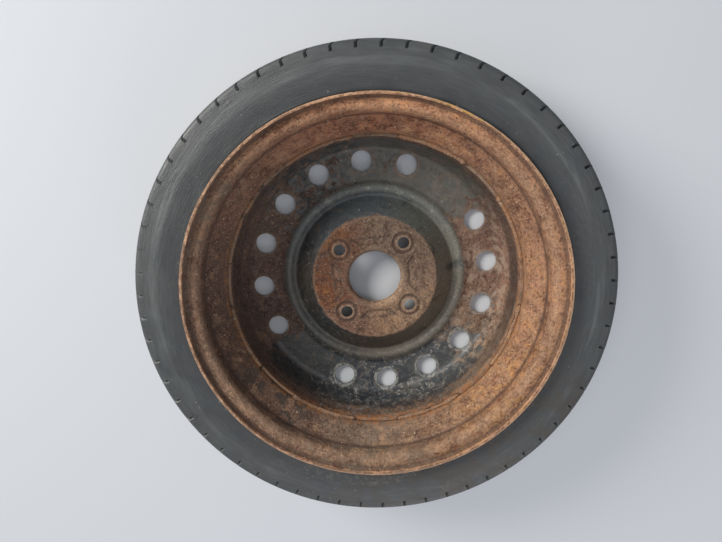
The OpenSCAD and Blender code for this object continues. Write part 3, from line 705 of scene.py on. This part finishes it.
def fromLugs(tree, flat, s):
    # distance in mm from the middle of the nearest stud hole
    corner = s["lugRing"] * mm * math.sqrt(0.5)
    away = addNode(tree, "ShaderNodeVectorMath", [foldedPlace(tree, flat, 45 - s["lugTurn"]),
                                                  (corner, corner, 0)], operation="DISTANCE")
    return addNode(tree, "ShaderNodeMath", [away, 1000.0], operation="MULTIPLY")


def insidePockets(tree, flat, s):
    # how far in mm a point lies inside the nearest of the four pressed pockets, less than nothing outside
    folded = foldedPlace(tree, flat, -s["lugTurn"] - 45)
    x, y, z = addNode(tree, "ShaderNodeSeparateXYZ", [folded]).outputs
    along = addNode(tree, "ShaderNodeMath", [x, y], operation="MAXIMUM")
    along = addNode(tree, "ShaderNodeMath", [along, 1000.0], operation="MULTIPLY")
    aside = addNode(tree, "ShaderNodeMath", [x, y], operation="MINIMUM")
    aside = addNode(tree, "ShaderNodeMath", [aside, 1000.0], operation="MULTIPLY")
    narrow = addNode(tree, "ShaderNodeMath", [s["pocketOut"] - s["pocketStraight"], along],
                     operation="SUBTRACT")
    narrow = addNode(tree, "ShaderNodeMath", [narrow, 0.0], operation="MAXIMUM")
    narrow = addNode(tree, "ShaderNodeMath", [narrow, -s["pocketTaper"], s["pocketHalf"]],
                     operation="MULTIPLY_ADD")
    sides = addNode(tree, "ShaderNodeMath", [narrow, aside], operation="SUBTRACT")
    inner = addNode(tree, "ShaderNodeMath", [along, s["pocketIn"]], operation="SUBTRACT")
    outer = addNode(tree, "ShaderNodeMath", [s["pocketOut"], along], operation="SUBTRACT")
    ends = addNode(tree, "ShaderNodeMath", [inner, outer], operation="MINIMUM")
    return addNode(tree, "ShaderNodeMath", [ends, sides], operation="MINIMUM")


# Pressed mild steel, black chassis paint over it: satin and bluish where it holds, rust where it has gone
def paintedPressing(name, s):
    made, tree, shader, place = startMaterial(name, {"Metallic": 0.0, "IOR": 1.5})
    radius, turn, height, flat = polarPlace(tree, place)
    roll = rolledPlace(tree, radius, height, flat, 0.06)
    onPad = addNode(tree, "ShaderNodeMapRange", [radius, s["padEdge"] + 3.5, s["padEdge"] - 2.5],
                    interpolation_type="SMOOTHSTEP")
    onPlain = addNode(tree, "ShaderNodeMapRange", [radius, s["ring"] + 1.5, s["ring"] + 8.5],
                      interpolation_type="SMOOTHSTEP")
    # bare steel: the hub pad rusted red on the left and tan on the right, the plain ring its own way
    tone = coat(byDirection(turn, s["bare"]), byDirection(turn, s["pad"]), onPad)
    tone = coat(tone, s["redTone"], byDirection(turn, s["redEdge"]),
                bandAt(radius, 70.0, 4.0, 16.0),
                patchesAt(place, 13, 0.44, 0.60, 0.0, 0.85, 6.0))
    pocket = insidePockets(tree, flat, s)
    within = addNode(tree, "ShaderNodeMapRange", [pocket, -0.5, 2.4], interpolation_type="SMOOTHSTEP")
    tone = coat(tone, s["pocketDust"], within, patchesAt(place, 7, 0.4, 0.6, 0.0, 0.5))
    # darker along the pockets' edges
    tone = coat(tone, s["pocketEdgeDark"], bandAt(pocket, 0.6, 0.3, 3.0), onPad,
                patchesAt(place, 10, 0.40, 0.60, 0.1, 0.85, 6.0))
    rust = rustColour(tree, place, roll, tone, s)
    rust = coat(rust, s["padDark"], onPad, patchesAt(place, 9, 0.46, 0.34, 0.0, 0.6, 6.0, 0.9))
    rust = coat(rust, s["pit"], onPad, specksAt(place, 3.4, 0.3, 0.25),
                patchesAt(place, 13, 0.47, 0.58))
    rust = coat(rust, s["padFleck"], onPad, specksAt(place, 2.0, 0.3, 0.25),
                patchesAt(place, 10, 0.52, 0.62, 0.0, 0.9))
    # what is left of the paint: bluish and darker on the left of the bowl, partly painted shade, olive where
    # dust lies, black low down
    paint = byDirection(turn, s["bowlPaintAndShade"])
    paint = coat(paint, byDirection(turn, s["plain"]), onPlain)
    paint = coat(paint, s["paintPale"], patchesAt(place, 5, 0.48, 0.74, 0.0, 0.4, 6.0))
    paint = coat(paint, s["paintDeep"], patchesAt(place, 24, 0.44, 0.30, 0.0, 0.85, 6.0, 0.7))
    dusted = byDirection(turn, s["dusted"])
    paint = coat(paint, s["paintDust"], dusted, patchesAt(place, 19, 0.54, 0.68, 0.0, 0.6, 6.0, 0.7))
    paint = coat(paint, s["plainDust"], dusted, onPlain,
                 patchesAt(place, 8, 0.58, 0.68, 0.0, 0.8, 6.0, 0.7))
    paint = coat(paint, s["paintDull"], patchesAt(place, 3, 0.52, 0.40, 0.0, 0.4, 5.0))
    paint = coat(paint, s["paintSpeck"], specksAt(place, 3.2, 0.14, 0.2),
                 patchesAt(place, 17, 0.4, 0.6))
    # how much of it is left, by radius inside the ring and by direction outside it, less up the skirt
    inner = addNode(tree, "ShaderNodeMath", [radius, 200.0], operation="DIVIDE")
    inner = addNode(tree, "ShaderNodeValToRGB", [inner], stops=s["paintInside"])
    outer = byDirection(turn, s["paintOutside"])
    left = addNode(tree, "ShaderNodeMix", [onPlain, inner, outer], data_type="RGBA")
    high = addNode(tree, "ShaderNodeMapRange", [height, 2.0, 22.0, 0.0, 0.8],
                   interpolation_type="SMOOTHSTEP")
    left = addNode(tree, "ShaderNodeMath", [left, high], operation="SUBTRACT")
    for size, detail, weight in ((15, 8.0, 1.5), (3.2, 4.0, 0.55)):
        ragged = addNode(tree, "ShaderNodeTexNoise", {"Vector": place, "Scale": 1 / (size * mm),
                                                      "Detail": detail, "Distortion": 0.8})
        ragged = addNode(tree, "ShaderNodeMath", [ragged, weight, -weight / 2], operation="MULTIPLY_ADD")
        left = addNode(tree, "ShaderNodeMath", [left, ragged], operation="ADD")
    paintShare = addNode(tree, "ShaderNodeMapRange", [left, 0.34, 0.64], interpolation_type="SMOOTHSTEP")
    colour = coat(rust, paint, paintShare)
    # rust creeps in from the rims of the upper vents
    frayed = addNode(tree, "ShaderNodeTexNoise", {"Vector": place, "Scale": 170.0, "Detail": 6.0})
    vent = addNode(tree, "ShaderNodeMath", [frayed, 7.0, fromVents(tree, radius, turn, s)],
                   operation="MULTIPLY_ADD")
    vent = addNode(tree, "ShaderNodeMath", [vent, 3.5], operation="SUBTRACT")
    hole = s["ventHole"]
    colour = coat(colour, s["ventRust"], byDirection(turn, s["topVents"]),
                  bandAt(vent, hole + 1.5, 1.5, 5.5), patchesAt(place, 6, 0.40, 0.56, 0.1, 0.85))
    # chips of the old black between the vents at the upper left
    colour = coat(colour, s["chip"], byDirection(turn, s["blackTop"]), onPlain,
                  patchesAt(place, 13, 0.5, 0.56, 0.0, 0.9, 6.0))
    # chalky lime: flakes along the ring's crest, partly a painted highlight strongest at the top, rings
    # round the low vents and blotches between them
    crest = byDirection(turn, s["crest"])
    flake = patchesAt(place, 2.6, 0.48, 0.60, 0.0, 1.0, 5.0, 0.6)
    colour = coat(colour, s["crestFilm"], crest, bandAt(radius, s["ring"] + 0.5, 3.0, 8.0), 0.7)
    colour = coat(colour, s["crestFlakeAndHighlight"], crest, bandAt(radius, s["ring"] - 0.5, 1.5, 8.0), flake,
                  patchesAt(place, 11, 0.44, 0.60, 0.1, 0.9))
    lowVents = byDirection(turn, s["lowVents"])
    colour = coat(colour, s["ventLime"], lowVents, bandAt(vent, hole + 1.4, 1.0, 2.6),
                  patchesAt(place, 4, 0.38, 0.54, 0.2, 1.0, 5.0))
    colour = coat(colour, s["limeFilm"], lowVents, onPlain,
                  patchesAt(place, 12, 0.56, 0.62, 0.0, 0.55, 6.0, 1.2))
    colour = coat(colour, s["limeFlake"], lowVents, onPlain, flake,
                  patchesAt(place, 9, 0.56, 0.61, 0.0, 0.85, 6.0, 1.1))
    colour = coat(colour, s["limeSpeck"], lowVents, onPlain, specksAt(place, 2.6, 0.3, 0.25),
                  patchesAt(place, 12, 0.48, 0.60, 0.0, 0.9))
    # tan grit on the right, painted shade on the skirt, an orange crust below the joint with the rim
    tan = byDirection(turn, s["tanGrit"])
    colour = coat(colour, s["tanTone"], tan, onPlain,
                  patchesAt(place, 9, 0.46, 0.62, 0.0, 0.75, 7.0))
    colour = coat(colour, s["tanPit"], tan, onPlain, specksAt(place, 2.8, 0.35, 0.25), 0.8)
    colour = coat(colour, s["shade"], byDirection(turn, s["skirtShade"]),
                  bandAt(height, 13.0, 6.0, 18.0))
    crust = addNode(tree, "ShaderNodeMapRange", [height, 21.0, 33.0], interpolation_type="SMOOTHSTEP")
    colour = coat(colour, s["crustTone"], byDirection(turn, s["orange"]), crust,
                  patchesAt(place, 8, 0.38, 0.58, 0.2, 0.9, 6.0))
    # bright rings where the nuts rubbed, darker in the dips round them
    lug = fromLugs(tree, flat, s)
    colour = coat(colour, s["rubbedTone"], byDirection(turn, s["rubbed"]),
                  bandAt(lug, s["lugHole"] + 1.3, 0.2, 1.3),
                  patchesAt(place, 6, 0.40, 0.60, 0.1, 0.9))
    colour = coat(colour, s["dipDark"], bandAt(lug, 12.4, 1.0, 3.4, 0.6),
                  patchesAt(place, 7, 0.38, 0.6, 0.3, 1.0))
    # rust is rougher than paint and stands proud of it
    bare = addNode(tree, "ShaderNodeMapRange", [paintShare, 1.0, 0.0, 0.0, 0.32])
    rough = addNode(tree, "ShaderNodeMath", [patchesAt(place, 5, 0.35, 0.7, 0.40, 0.62), bare],
                    operation="ADD")
    swollen = addNode(tree, "ShaderNodeMapRange", [paintShare, 1.0, 0.0, 0.3, 1.0])
    coarse = addNode(tree, "ShaderNodeMath", [patchesAt(place, 4.5, 0.1, 0.9), swollen],
                     operation="MULTIPLY")
    fine = addNode(tree, "ShaderNodeMath", [patchesAt(place, 1.0, 0.1, 0.9), swollen],
                   operation="MULTIPLY")
    finishMaterial(tree, shader, colour, rough,
                   [(coarse, 0.0012, 0.7), (fine, 0.0004, 0.6), (paintShare, 0.00025, 0.8)])
    return made


def discLine(s):
    # middle of the sheet from the bore's collar to the skirt's edge: radius, height, bend
    half = s["gauge"] / 2
    low = -s["depth"] - half
    skirt = s["skirt"] - half
    return [[s["bore"] + half, -s["collar"], 0], [s["bore"] + half, -half, 4.5],
            [s["padEdge"] - 1, -half, 5],
            [s["groove"], low - s["grooveDepth"], 5], [s["ring"], low + s["ringHeight"], 5],
            [s["ring"] + 10, low, 4], [s["bowlEdge"], low, 11], [s["wallFoot"], s["wallHeight"], 30],
            [skirt, s["skirtTop"] - s["skirtLength"], 14], [skirt, s["skirtTop"], 0]]


def pressedPad(x, y):
    # the dies' work on the pad: a dip round each stud hole and a shallow pocket between two
    s = discSet
    lower = np.zeros_like(x)
    for k in range(4):
        holeX, holeY, _ = onCircle(s["lugRing"], s["lugTurn"] + 90 * k, 0)
        lower += np.interp(np.hypot(x - holeX, y - holeY), s["dipAway"], s["dipDepth"])
        across, up, _ = onCircle(1, s["lugTurn"] + 90 * k + 45, 0)
        along = x * across + y * up
        aside = np.abs(-x * up + y * across)
        narrow = np.maximum(s["pocketOut"] - s["pocketStraight"] - along, 0) * s["pocketTaper"]
        inside = np.minimum(along - s["pocketIn"], s["pocketOut"] - along)
        inside = np.minimum(inside, s["pocketHalf"] - aside - narrow)
        step = np.clip(inside / s["pocketEdge"], 0, 1)
        lower -= s["pocketDepth"] * step * step * (3 - 2 * step)
    return np.where(np.hypot(x, y) < s["padEdge"] + 2, lower, 0)


outline = sheetOutline(discLine(discSet), discSet, True)
disc = revolve("pressedDisc", outline, discSet["columns"], pressedPad)
up = (0, 0, 1)
drills = [(onCircle(discSet["lugRing"], discSet["lugTurn"] + 90 * k, 0), up, discSet["lugHole"],
           discSet["lugDrill"]) for k in range(4)]
for k in range(discSet["ventPlaces"]):
    if k not in discSet["blank"]:
        turn = discSet["ventTurn"] + 360 / discSet["ventPlaces"] * k
        drills.append((onCircle(discSet["ventRing"], turn, discSet["ventMiddle"]), up, discSet["ventHole"],
                       discSet["ventDrill"]))
cutHoles(disc, drills)
runTree(disc, skin, {**discSet["skin"],
                     "Finish": paintedPressing("black chassis paint over rust", discSet)})
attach(disc, "wheel")
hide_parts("disc")
print("disc:", len(disc.data.polygons), "faces")


# Tyre, sizes in mm; a notch is a groove across the shoulder, a sipe a thin cut in a rib of the tread
tyreSet = {
    "crown": 277.5, "crownBend": 276, "grooves": (18, 0, -18), "grooveWidth": 5.5, "grooveDepth": 4.5,
    "grooveTaper": 0.8, "treadHalf": 38, "shoulder": 50.3, "shoulderDrop": 4.4, "shoulderBend": 9,
    "bulgeShare": 0.53, "seat": 202.9, "flange": 219.8, "heel": 50.8, "beadWidth": 14.2,
    "seatSlope": 5,
    "notches": 63, "notchWidth": 2.2, "notchDepth": 3.6, "notchEnd": 33.5, "notchMiddle": 43,
    "notchSlant": 50, "notchFall": 29, "notchWall": 0.15, "notchRoom": 4,
    "sipeWidth": 0.7, "sipeDepth": 3.2, "sipeRuns": ((4.7, 13.2), (23.9, 31.5)), "sipeBend": 5,
    "sipeWall": 0.12, "sipeEnd": 0.25, "treadThickness": 12,
    "outerSpacing": 8, "outerBendStep": 18, "innerSpacing": 18, "innerBendStep": 30,
    # rubber: darkBands goes across the sidewall; the crest's painted highlight and mud go by direction
    "rubber": [(0.3, "#2b2e31"), (0.45, "#363a3d"), (0.58, "#414547"), (0.72, "#505354")],
    "beadBlack": "#1b2026", "crestHighlightGrey": "#74787a", "mudDark": "#3a342d", "mudDry": "#6d6b62",
    "dustSpeck": "#85867f",
    "sidewall": (215.0, 277.0), "crest": 252.5, "beadLine": 217.0,
    "darkBands": [(0.0, 0.9), (0.12, 0.8), (0.32, 0.55), (0.48, 0.15), (0.62, 0.0), (0.85, 0.05),
        (1.0, 0.3)],
    # the tyre crest's painted highlight by direction, strongest on the upper left
    "crestHighlightBy": [(0.0, 0.45), (0.12, 0.5), (0.22, 0.15), (0.33, 0.5), (0.40, 0.8), (0.47, 0.3), (0.6, 0.15),
        (0.8, 0.1), (0.93, 0.35)],
    "mud": [(0.0, 0.2), (0.3, 0.1), (0.6, 0.2), (0.7, 0.4), (0.8, 0.9), (0.9, 0.95), (0.96, 0.25)]
}


# Moulded tyre rubber, years old: grey bloom over black, dust in its lines, scuffs with a dull sheen
def agedRubber(name, s):
    made, tree, shader, place = startMaterial(name, {"IOR": 1.52, "Metallic": 0.0})
    radius, turn, height, flat = polarPlace(tree, place)
    roll = rolledPlace(tree, radius, height, flat, 0.03)
    rub = addNode(tree, "ShaderNodeTexNoise", {"Vector": roll, "Scale": 330.0, "Detail": 5.0})
    cloud = addNode(tree, "ShaderNodeTexNoise", {"Vector": place, "Scale": 24.0, "Detail": 6.0,
                                                 "Distortion": 0.6})
    mixed = addNode(tree, "ShaderNodeMix", [0.5, rub, cloud], data_type="FLOAT")
    colour = addNode(tree, "ShaderNodeValToRGB", [mixed], stops=s["rubber"])
    # bluish black towards the bead, a painted grey highlight along the crest, strongest on the upper left,
    # and a plain shoulder
    bands = addNode(tree, "ShaderNodeMapRange", [radius, *s["sidewall"]])
    dark = addNode(tree, "ShaderNodeValToRGB", [bands], stops=s["darkBands"])
    colour = coat(colour, s["beadBlack"], dark, patchesAt(place, 40, 0.3, 0.6, 0.6, 1.0))
    colour = coat(colour, s["crestHighlightGrey"], bandAt(radius, s["crest"], 1.5, 6.5),
                  byDirection(turn, s["crestHighlightBy"]), patchesAt(roll, 9, 0.42, 0.62, 0.1, 0.9))
    # dried mud low on the right, thin dust elsewhere
    mud = byDirection(turn, s["mud"])
    near = addNode(tree, "ShaderNodeMapRange", [radius, 256.0, 236.0, 0.25, 1.0],
                   interpolation_type="SMOOTHSTEP")
    colour = coat(colour, s["mudDark"], mud, patchesAt(place, 24, 0.40, 0.60, 0.2, 0.85, 6.0))
    colour = coat(colour, s["mudDry"], mud, near,
                  patchesAt(place, 5, 0.46, 0.68, 0.0, 0.6, 9.0, 0.2),
                  patchesAt(roll, 30, 0.44, 0.60))
    colour = coat(colour, s["dustSpeck"], specksAt(place, 3.4, 0.14, 0.2),
                  patchesAt(place, 30, 0.5, 0.62), 0.6)
    # duller close to the bead
    gloss = addNode(tree, "ShaderNodeMapRange", [cloud, 0.3, 0.7, 0.42, 0.62],
                    interpolation_type="SMOOTHSTEP")
    dull = bandAt(radius, s["beadLine"], 5.0, 9.0, 0.35)
    gloss = addNode(tree, "ShaderNodeMath", [gloss, dull], operation="ADD")
    finishMaterial(tree, shader, colour, gloss, [(patchesAt(roll, 1.6, 0.1, 0.9), 0.0005, 0.45),
                                                 (patchesAt(place, 1.1, 0.1, 0.9), 0.0003, 0.5)])
    return made


def crownAt(place):
    return tyreSet["crown"] - (tyreSet["crownBend"] - math.sqrt(tyreSet["crownBend"] ** 2 - place ** 2))


def tyreOutline(s):
    # outside from the inboard toe over the tread to the outboard toe, then back inside
    seat, flange, toe = s["seat"], s["flange"], s["heel"] - s["beadWidth"]
    drop = s["beadWidth"] * math.tan(math.radians(s["seatSlope"]))
    shoulder = s["crown"] - s["shoulderDrop"]
    bulge = flange + s["bulgeShare"] * (shoulder - flange)
    side = [[seat - drop, toe, 0], [seat, 50.7, 6.5], [flange - 6.6, 50.5, 2], [flange - 2.5, 49.2, 1.5],
            [flange + 0.9, 51.3, 0.8], [flange + 2.7, 51.7, 0.8], [flange + 3.6, 50.7, 0.8],
            [bulge, 52.5, 35], [shoulder - 10, s["shoulder"] + 0.6, 30],
            [shoulder, s["shoulder"], s["shoulderBend"]], [crownAt(s["treadHalf"]), s["treadHalf"], 0]]
    side = filled(roundedPath(side, s["outerBendStep"]), s["outerSpacing"])
    lip, foot = s["grooveWidth"] / 2, s["grooveWidth"] / 2 - s["grooveTaper"]
    # places across one half of the tread where something starts or ends
    marks = [36, s["notchEnd"] + 0.2, s["notchEnd"] - 0.1, 9, 27.5]
    for low, high in s["sipeRuns"]:
        marks += [low, low + s["sipeEnd"], high - s["sipeEnd"], high]
    tread = [[crownAt(place), place] for place in marks]
    for middle in s["grooves"][:2]:
        low = crownAt(middle) - s["grooveDepth"]
        walls = [[crownAt(middle + lip), middle + lip], [low, middle + foot], [low, middle - foot],
                 [crownAt(middle - lip), middle - lip]]
        tread += walls if middle else walls[:2]
    tread = np.array(sorted(tread, key=lambda point: -point[1]))
    outer = np.r_[side[:-1], tread, (tread * [1, -1])[::-1], (side * [1, -1])[::-1][1:]]
    inner = [[seat - drop, toe, 0], [seat + 9, toe + 1.5, 8], [seat + 21, 45.5, 12], [bulge, 46.7, 35],
             [shoulder - 14, 43.9, 20], [s["crown"] - 10.2, 32, 10], [s["crown"] - 9, 0, 0]]
    inner = filled(roundedPath(inner, s["innerBendStep"]), s["innerSpacing"])[1:]
    return outer, np.r_[inner * [1, -1], inner[::-1][1:]]


def makeTyre(s):
    # the columns lean as the notches do, so that each notch and sipe has straight walls of its own
    outer, inner = tyreOutline(s)
    outline = np.r_[outer, inner]
    outside = np.arange(len(outline))[:, None] < len(outer)
    r, across = outline[:, 0][:, None], outline[:, 1][:, None]
    pitch = 2 * math.pi * s["crown"] / s["notches"]
    fall = math.tan(math.radians(s["notchFall"]))
    lean = -math.tan(math.radians(s["notchSlant"])) * math.hypot(1, fall)
    half = s["notchWidth"] / 2 * math.hypot(1, lean)
    sipe, wall = s["sipeWidth"] / 2, s["sipeWall"]
    # columns of one pitch, in mm along the crown; 1 and 2 are a notch's floor, 6 and 7 a sipe's
    stops = np.array([-half, -half + s["notchWall"], half - s["notchWall"], half, half + s["notchRoom"],
                      pitch / 2 - sipe - wall, pitch / 2 - sipe, pitch / 2 + sipe, pitch / 2 + sipe + wall,
                      pitch - half - s["notchRoom"]])
    base = (np.arange(s["notches"])[:, None] * pitch + stops[None, :]).reshape(-1)
    kind = np.tile(np.arange(len(stops)), s["notches"])[None, :]
    # how far each row shifts: with the notches' slant outside, in a shallow wave between them
    where = np.where(r > s["crown"] - s["treadThickness"], across, np.sign(across) * s["shoulder"])
    where = np.clip(where, -s["shoulder"], s["shoulder"])
    edge = s["notchEnd"]
    shift = np.sign(where) * pitch / 4 - (where - np.sign(where) * s["notchMiddle"]) * lean
    atEdge = pitch / 4 - (edge - s["notchMiddle"]) * lean
    middle = where / edge * atEdge - s["sipeBend"] * np.sin(math.pi * where / edge)
    shift = np.where(np.abs(where) > edge, shift, middle)
    turn = (base[None, :] + shift) / s["crown"]
    r, across = r + 0 * turn, across + 0 * turn
    floorAt = crownAt(s["treadHalf"]) - s["notchDepth"] - (np.abs(across) - s["treadHalf"]) * fall
    inNotch = outside & ((kind == 1) | (kind == 2)) & (np.abs(across) > edge) & (r > floorAt)
    r = np.where(inNotch, floorAt, r)
    inSipe = np.zeros_like(inNotch)
    for low, high in s["sipeRuns"]:
        inSipe |= (np.abs(across) > low + 0.1) & (np.abs(across) < high - 0.1)
    inSipe &= outside & ((kind == 6) | (kind == 7)) & (r > s["crown"] - s["notchDepth"])
    r = np.where(inSipe, r - s["sipeDepth"], r)
    return closedGrid("spareTyre", r * np.cos(turn), r * np.sin(turn), across + discLift, 30)


tyre = makeTyre(tyreSet)
tyre.data.materials.append(agedRubber("aged tyre rubber", tyreSet))
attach(tyre, "wheel")
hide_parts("tyre")
print("tyre:", len(tyre.data.polygons), "faces")


# Welds, sizes in mm and degrees: runs of bead between the disc's skirt and the rim's well
weldSet = {
    "runs": 8, "span": 30, "start": 8, "endRoom": 1, "steps": 30, "radius": 176.4, "height": 37.3,
    "bead": 2.9, "ripple": 1.9, "roughness": 1.5, "drift": ((0.5, 23), (0.35, 61)),
    # rust, where it differs from the rim's
    "joint": 0.5, "blotch": 6, "bloomShare": 0.1,
    "sides": [(0.0, "#6e4c37"), (0.25, "#6c4731"), (0.5, "#3c2a24"), (0.7, "#503726"), (0.86, "#6c492f")]
}


def weldTree(name):
    # one bead swept along each arc; each ripple is a solidified puddle
    tree, given, result = newTree(name, {"Bead": 0.003, "Ripple length": 0.002, "Roughness": 0.0006})
    curve = addNode(tree, "GeometryNodeMeshToCurve", [given["Geometry"]])
    curve = addNode(tree, "GeometryNodeResampleCurve", {"Curve": curve, "Length": 0.0007}, mode="LENGTH")
    along = addNode(tree, "GeometryNodeSplineParameter").outputs
    place = addNode(tree, "GeometryNodeInputPosition")
    wander = addNode(tree, "ShaderNodeTexNoise", {"Vector": place, "Scale": 90.0, "Detail": 2.0})
    phase = addNode(tree, "ShaderNodeMath", [along["Length"], given["Ripple length"]], operation="DIVIDE")
    phase = addNode(tree, "ShaderNodeMath", [wander, 3.0, phase], operation="MULTIPLY_ADD")
    phase = addNode(tree, "ShaderNodeMath", [phase], operation="FRACT")
    phase = addNode(tree, "ShaderNodeMath", [phase], operation="SQRT")
    swell = addNode(tree, "ShaderNodeMath", [wander, 0.5, 0.66], operation="MULTIPLY_ADD")
    swell = addNode(tree, "ShaderNodeMath", [phase, 0.16, swell], operation="MULTIPLY_ADD")
    toEnd = addNode(tree, "ShaderNodeMath", [along["Factor"], 0.5], operation="PINGPONG")
    toEnd = addNode(tree, "ShaderNodeMapRange", [toEnd, 0.0, 0.05, 0.35, 1.0],
                    interpolation_type="SMOOTHSTEP")
    swell = addNode(tree, "ShaderNodeMath", [swell, toEnd], operation="MULTIPLY")
    radius = addNode(tree, "ShaderNodeMath", [swell, given["Bead"]], operation="MULTIPLY")
    ring = addNode(tree, "GeometryNodeCurvePrimitiveCircle", {"Resolution": 14, "Radius": 1.0})
    swept = addNode(tree, "GeometryNodeCurveToMesh", {"Curve": curve, "Profile Curve": ring, "Scale": radius,
                                                      "Fill Caps": True})
    lumps = addNode(tree, "ShaderNodeTexNoise", {"Vector": place, "Scale": 420.0, "Detail": 3.0})
    lumps = addNode(tree, "ShaderNodeMath", [lumps, 0.5], operation="SUBTRACT")
    lumps = addNode(tree, "ShaderNodeMath", [lumps, given["Roughness"]], operation="MULTIPLY")
    normal = addNode(tree, "GeometryNodeInputNormal")
    offset = addNode(tree, "ShaderNodeVectorMath", [normal, lumps], operation="SCALE")
    rough = addNode(tree, "GeometryNodeSetPosition", {"Geometry": swept, "Offset": offset})
    return endTree(tree, rough, given, result)


verts, edges = [], []
for k in range(weldSet["runs"]):
    first = weldSet["start"] + 360 / weldSet["runs"] * k + weldSet["endRoom"]
    for step in range(weldSet["steps"] + 1):
        degrees = first + (weldSet["span"] - 2 * weldSet["endRoom"]) * step / weldSet["steps"]
        drift = sum(size * math.sin(math.radians(degrees) * pace) for size, pace in weldSet["drift"])
        verts.append(Vector(onCircle(weldSet["radius"], degrees, weldSet["height"] + drift)) * mm)
        if step:
            edges.append((len(verts) - 2, len(verts) - 1))
mesh = bpy.data.meshes.new("weldBeads")
mesh.from_pydata(verts, edges, [])
welds = intoScene("weldBeads", mesh)
weldRust = rustedStrip("rusted weld metal", {**rimSet, **weldSet})
runTree(welds, weldTree("rippled bead"), {"Bead": weldSet["bead"] * mm, "Finish": weldRust,
                                          "Ripple length": weldSet["ripple"] * mm,
                                          "Roughness": weldSet["roughness"] * mm})
finishMesh(welds.data, 60)
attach(welds, "wheel")
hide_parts("disc_welds")
print("welds:", len(welds.data.polygons), "faces")


# Valve
def smallFinish(name, base, dark, pale, size, roughLow, roughHigh, depth):
    # one worn finish for the little valve parts: two shades in fine mottle and a fine bump
    made, tree, shader, place = startMaterial(name, base)
    mottle = addNode(tree, "ShaderNodeTexNoise", {"Vector": place, "Scale": 1 / (size * mm), "Detail": 4.0})
    colour = addNode(tree, "ShaderNodeValToRGB", [mottle], stops=[(0.35, dark), (0.65, pale)])
    rough = addNode(tree, "ShaderNodeMapRange", [mottle, 0.3, 0.7, roughLow, roughHigh])
    grain = patchesAt(place, size / 5, 0.1, 0.9)
    finishMaterial(tree, shader, colour, rough, [(grain, depth * mm, 0.5)])
    return made


# EPDM boot: matt black, a little dusty
bootRubber = smallFinish("moulded EPDM", {"IOR": 1.5}, "#1b1c1d", "#2c2d2e", 3.0, 0.55, 0.75, 0.08)
# Free-cutting brass, turned: yellow metal gone dull and brown in its hollows
brass = smallFinish("dull turned brass", {"Metallic": 1.0}, "#6b5430", "#b0935a", 2.0, 0.32, 0.55, 0.03)
# PTFE gasket: waxy red, hardly any gloss
redGasket = smallFinish("red PTFE", {"IOR": 1.35}, "#8e2b20", "#b04030", 1.0, 0.4, 0.6, 0.02)
# Music wire: bright drawn steel
drawnWire = smallFinish("drawn spring wire", {"Metallic": 1.0}, "#8d8f92", "#b4b6b9", 0.8, 0.25, 0.4, 0.01)
# Nitrile seals: soft black, no sheen
nitrile = smallFinish("nitrile rubber", {"IOR": 1.5}, "#161616", "#262626", 1.0, 0.6, 0.8, 0.03)
# Glass-filled nylon cap: black, slightly grey at its worn ribs
capNylon = smallFinish("black nylon", {"IOR": 1.53}, "#191a1b", "#303132", 1.5, 0.42, 0.6, 0.03)

# node: its finish, the body it rides on, its slot
smallParts = {"valve_boot": (bootRubber, "wheel", "boot_rubber"), "valve_stem": (brass, "wheel", "brass"),
              "core_plug": (brass, "wheel", "brass"), "core_gasket": (redGasket, "wheel", "gasket"),
              "core_barrel": (brass, "wheel", "brass"), "core_spring": (drawnWire, "wheel", "spring_steel"),
              "core_pin": (brass, "core", "brass"), "core_cup": (brass, "core", "brass"),
              "core_seal": (nitrile, "core", "seal_rubber"), "cap_seal": (nitrile, "washer", "seal_rubber"),
              "valve_cap": (capNylon, "cap", "cap_plastic")}


def smoothCopy(node, finish, mergeWithin=1e-6):
    # a merged, smooth-shaded copy of a small CAD part: valve_cap gives valveCap
    mesh = cadNodes[node].data.copy()
    work = bmesh.new()
    work.from_mesh(mesh)
    bmesh.ops.remove_doubles(work, verts=work.verts, dist=mergeWithin)
    work.to_mesh(mesh)
    work.free()
    mesh.materials.clear()
    mesh.materials.append(finish)
    shadeSmooth(mesh, 32)
    first, second = node.split("_")
    return intoScene(first + second.capitalize(), mesh)


def shortenWith(piece):
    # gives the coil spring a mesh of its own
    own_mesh(piece)


for node, (finish, body, slot) in smallParts.items():
    part = smoothCopy(node, finish)
    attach(part, body)
    if node == "core_spring":
        shortenWith(part)
    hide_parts(node)
print("valve ready")
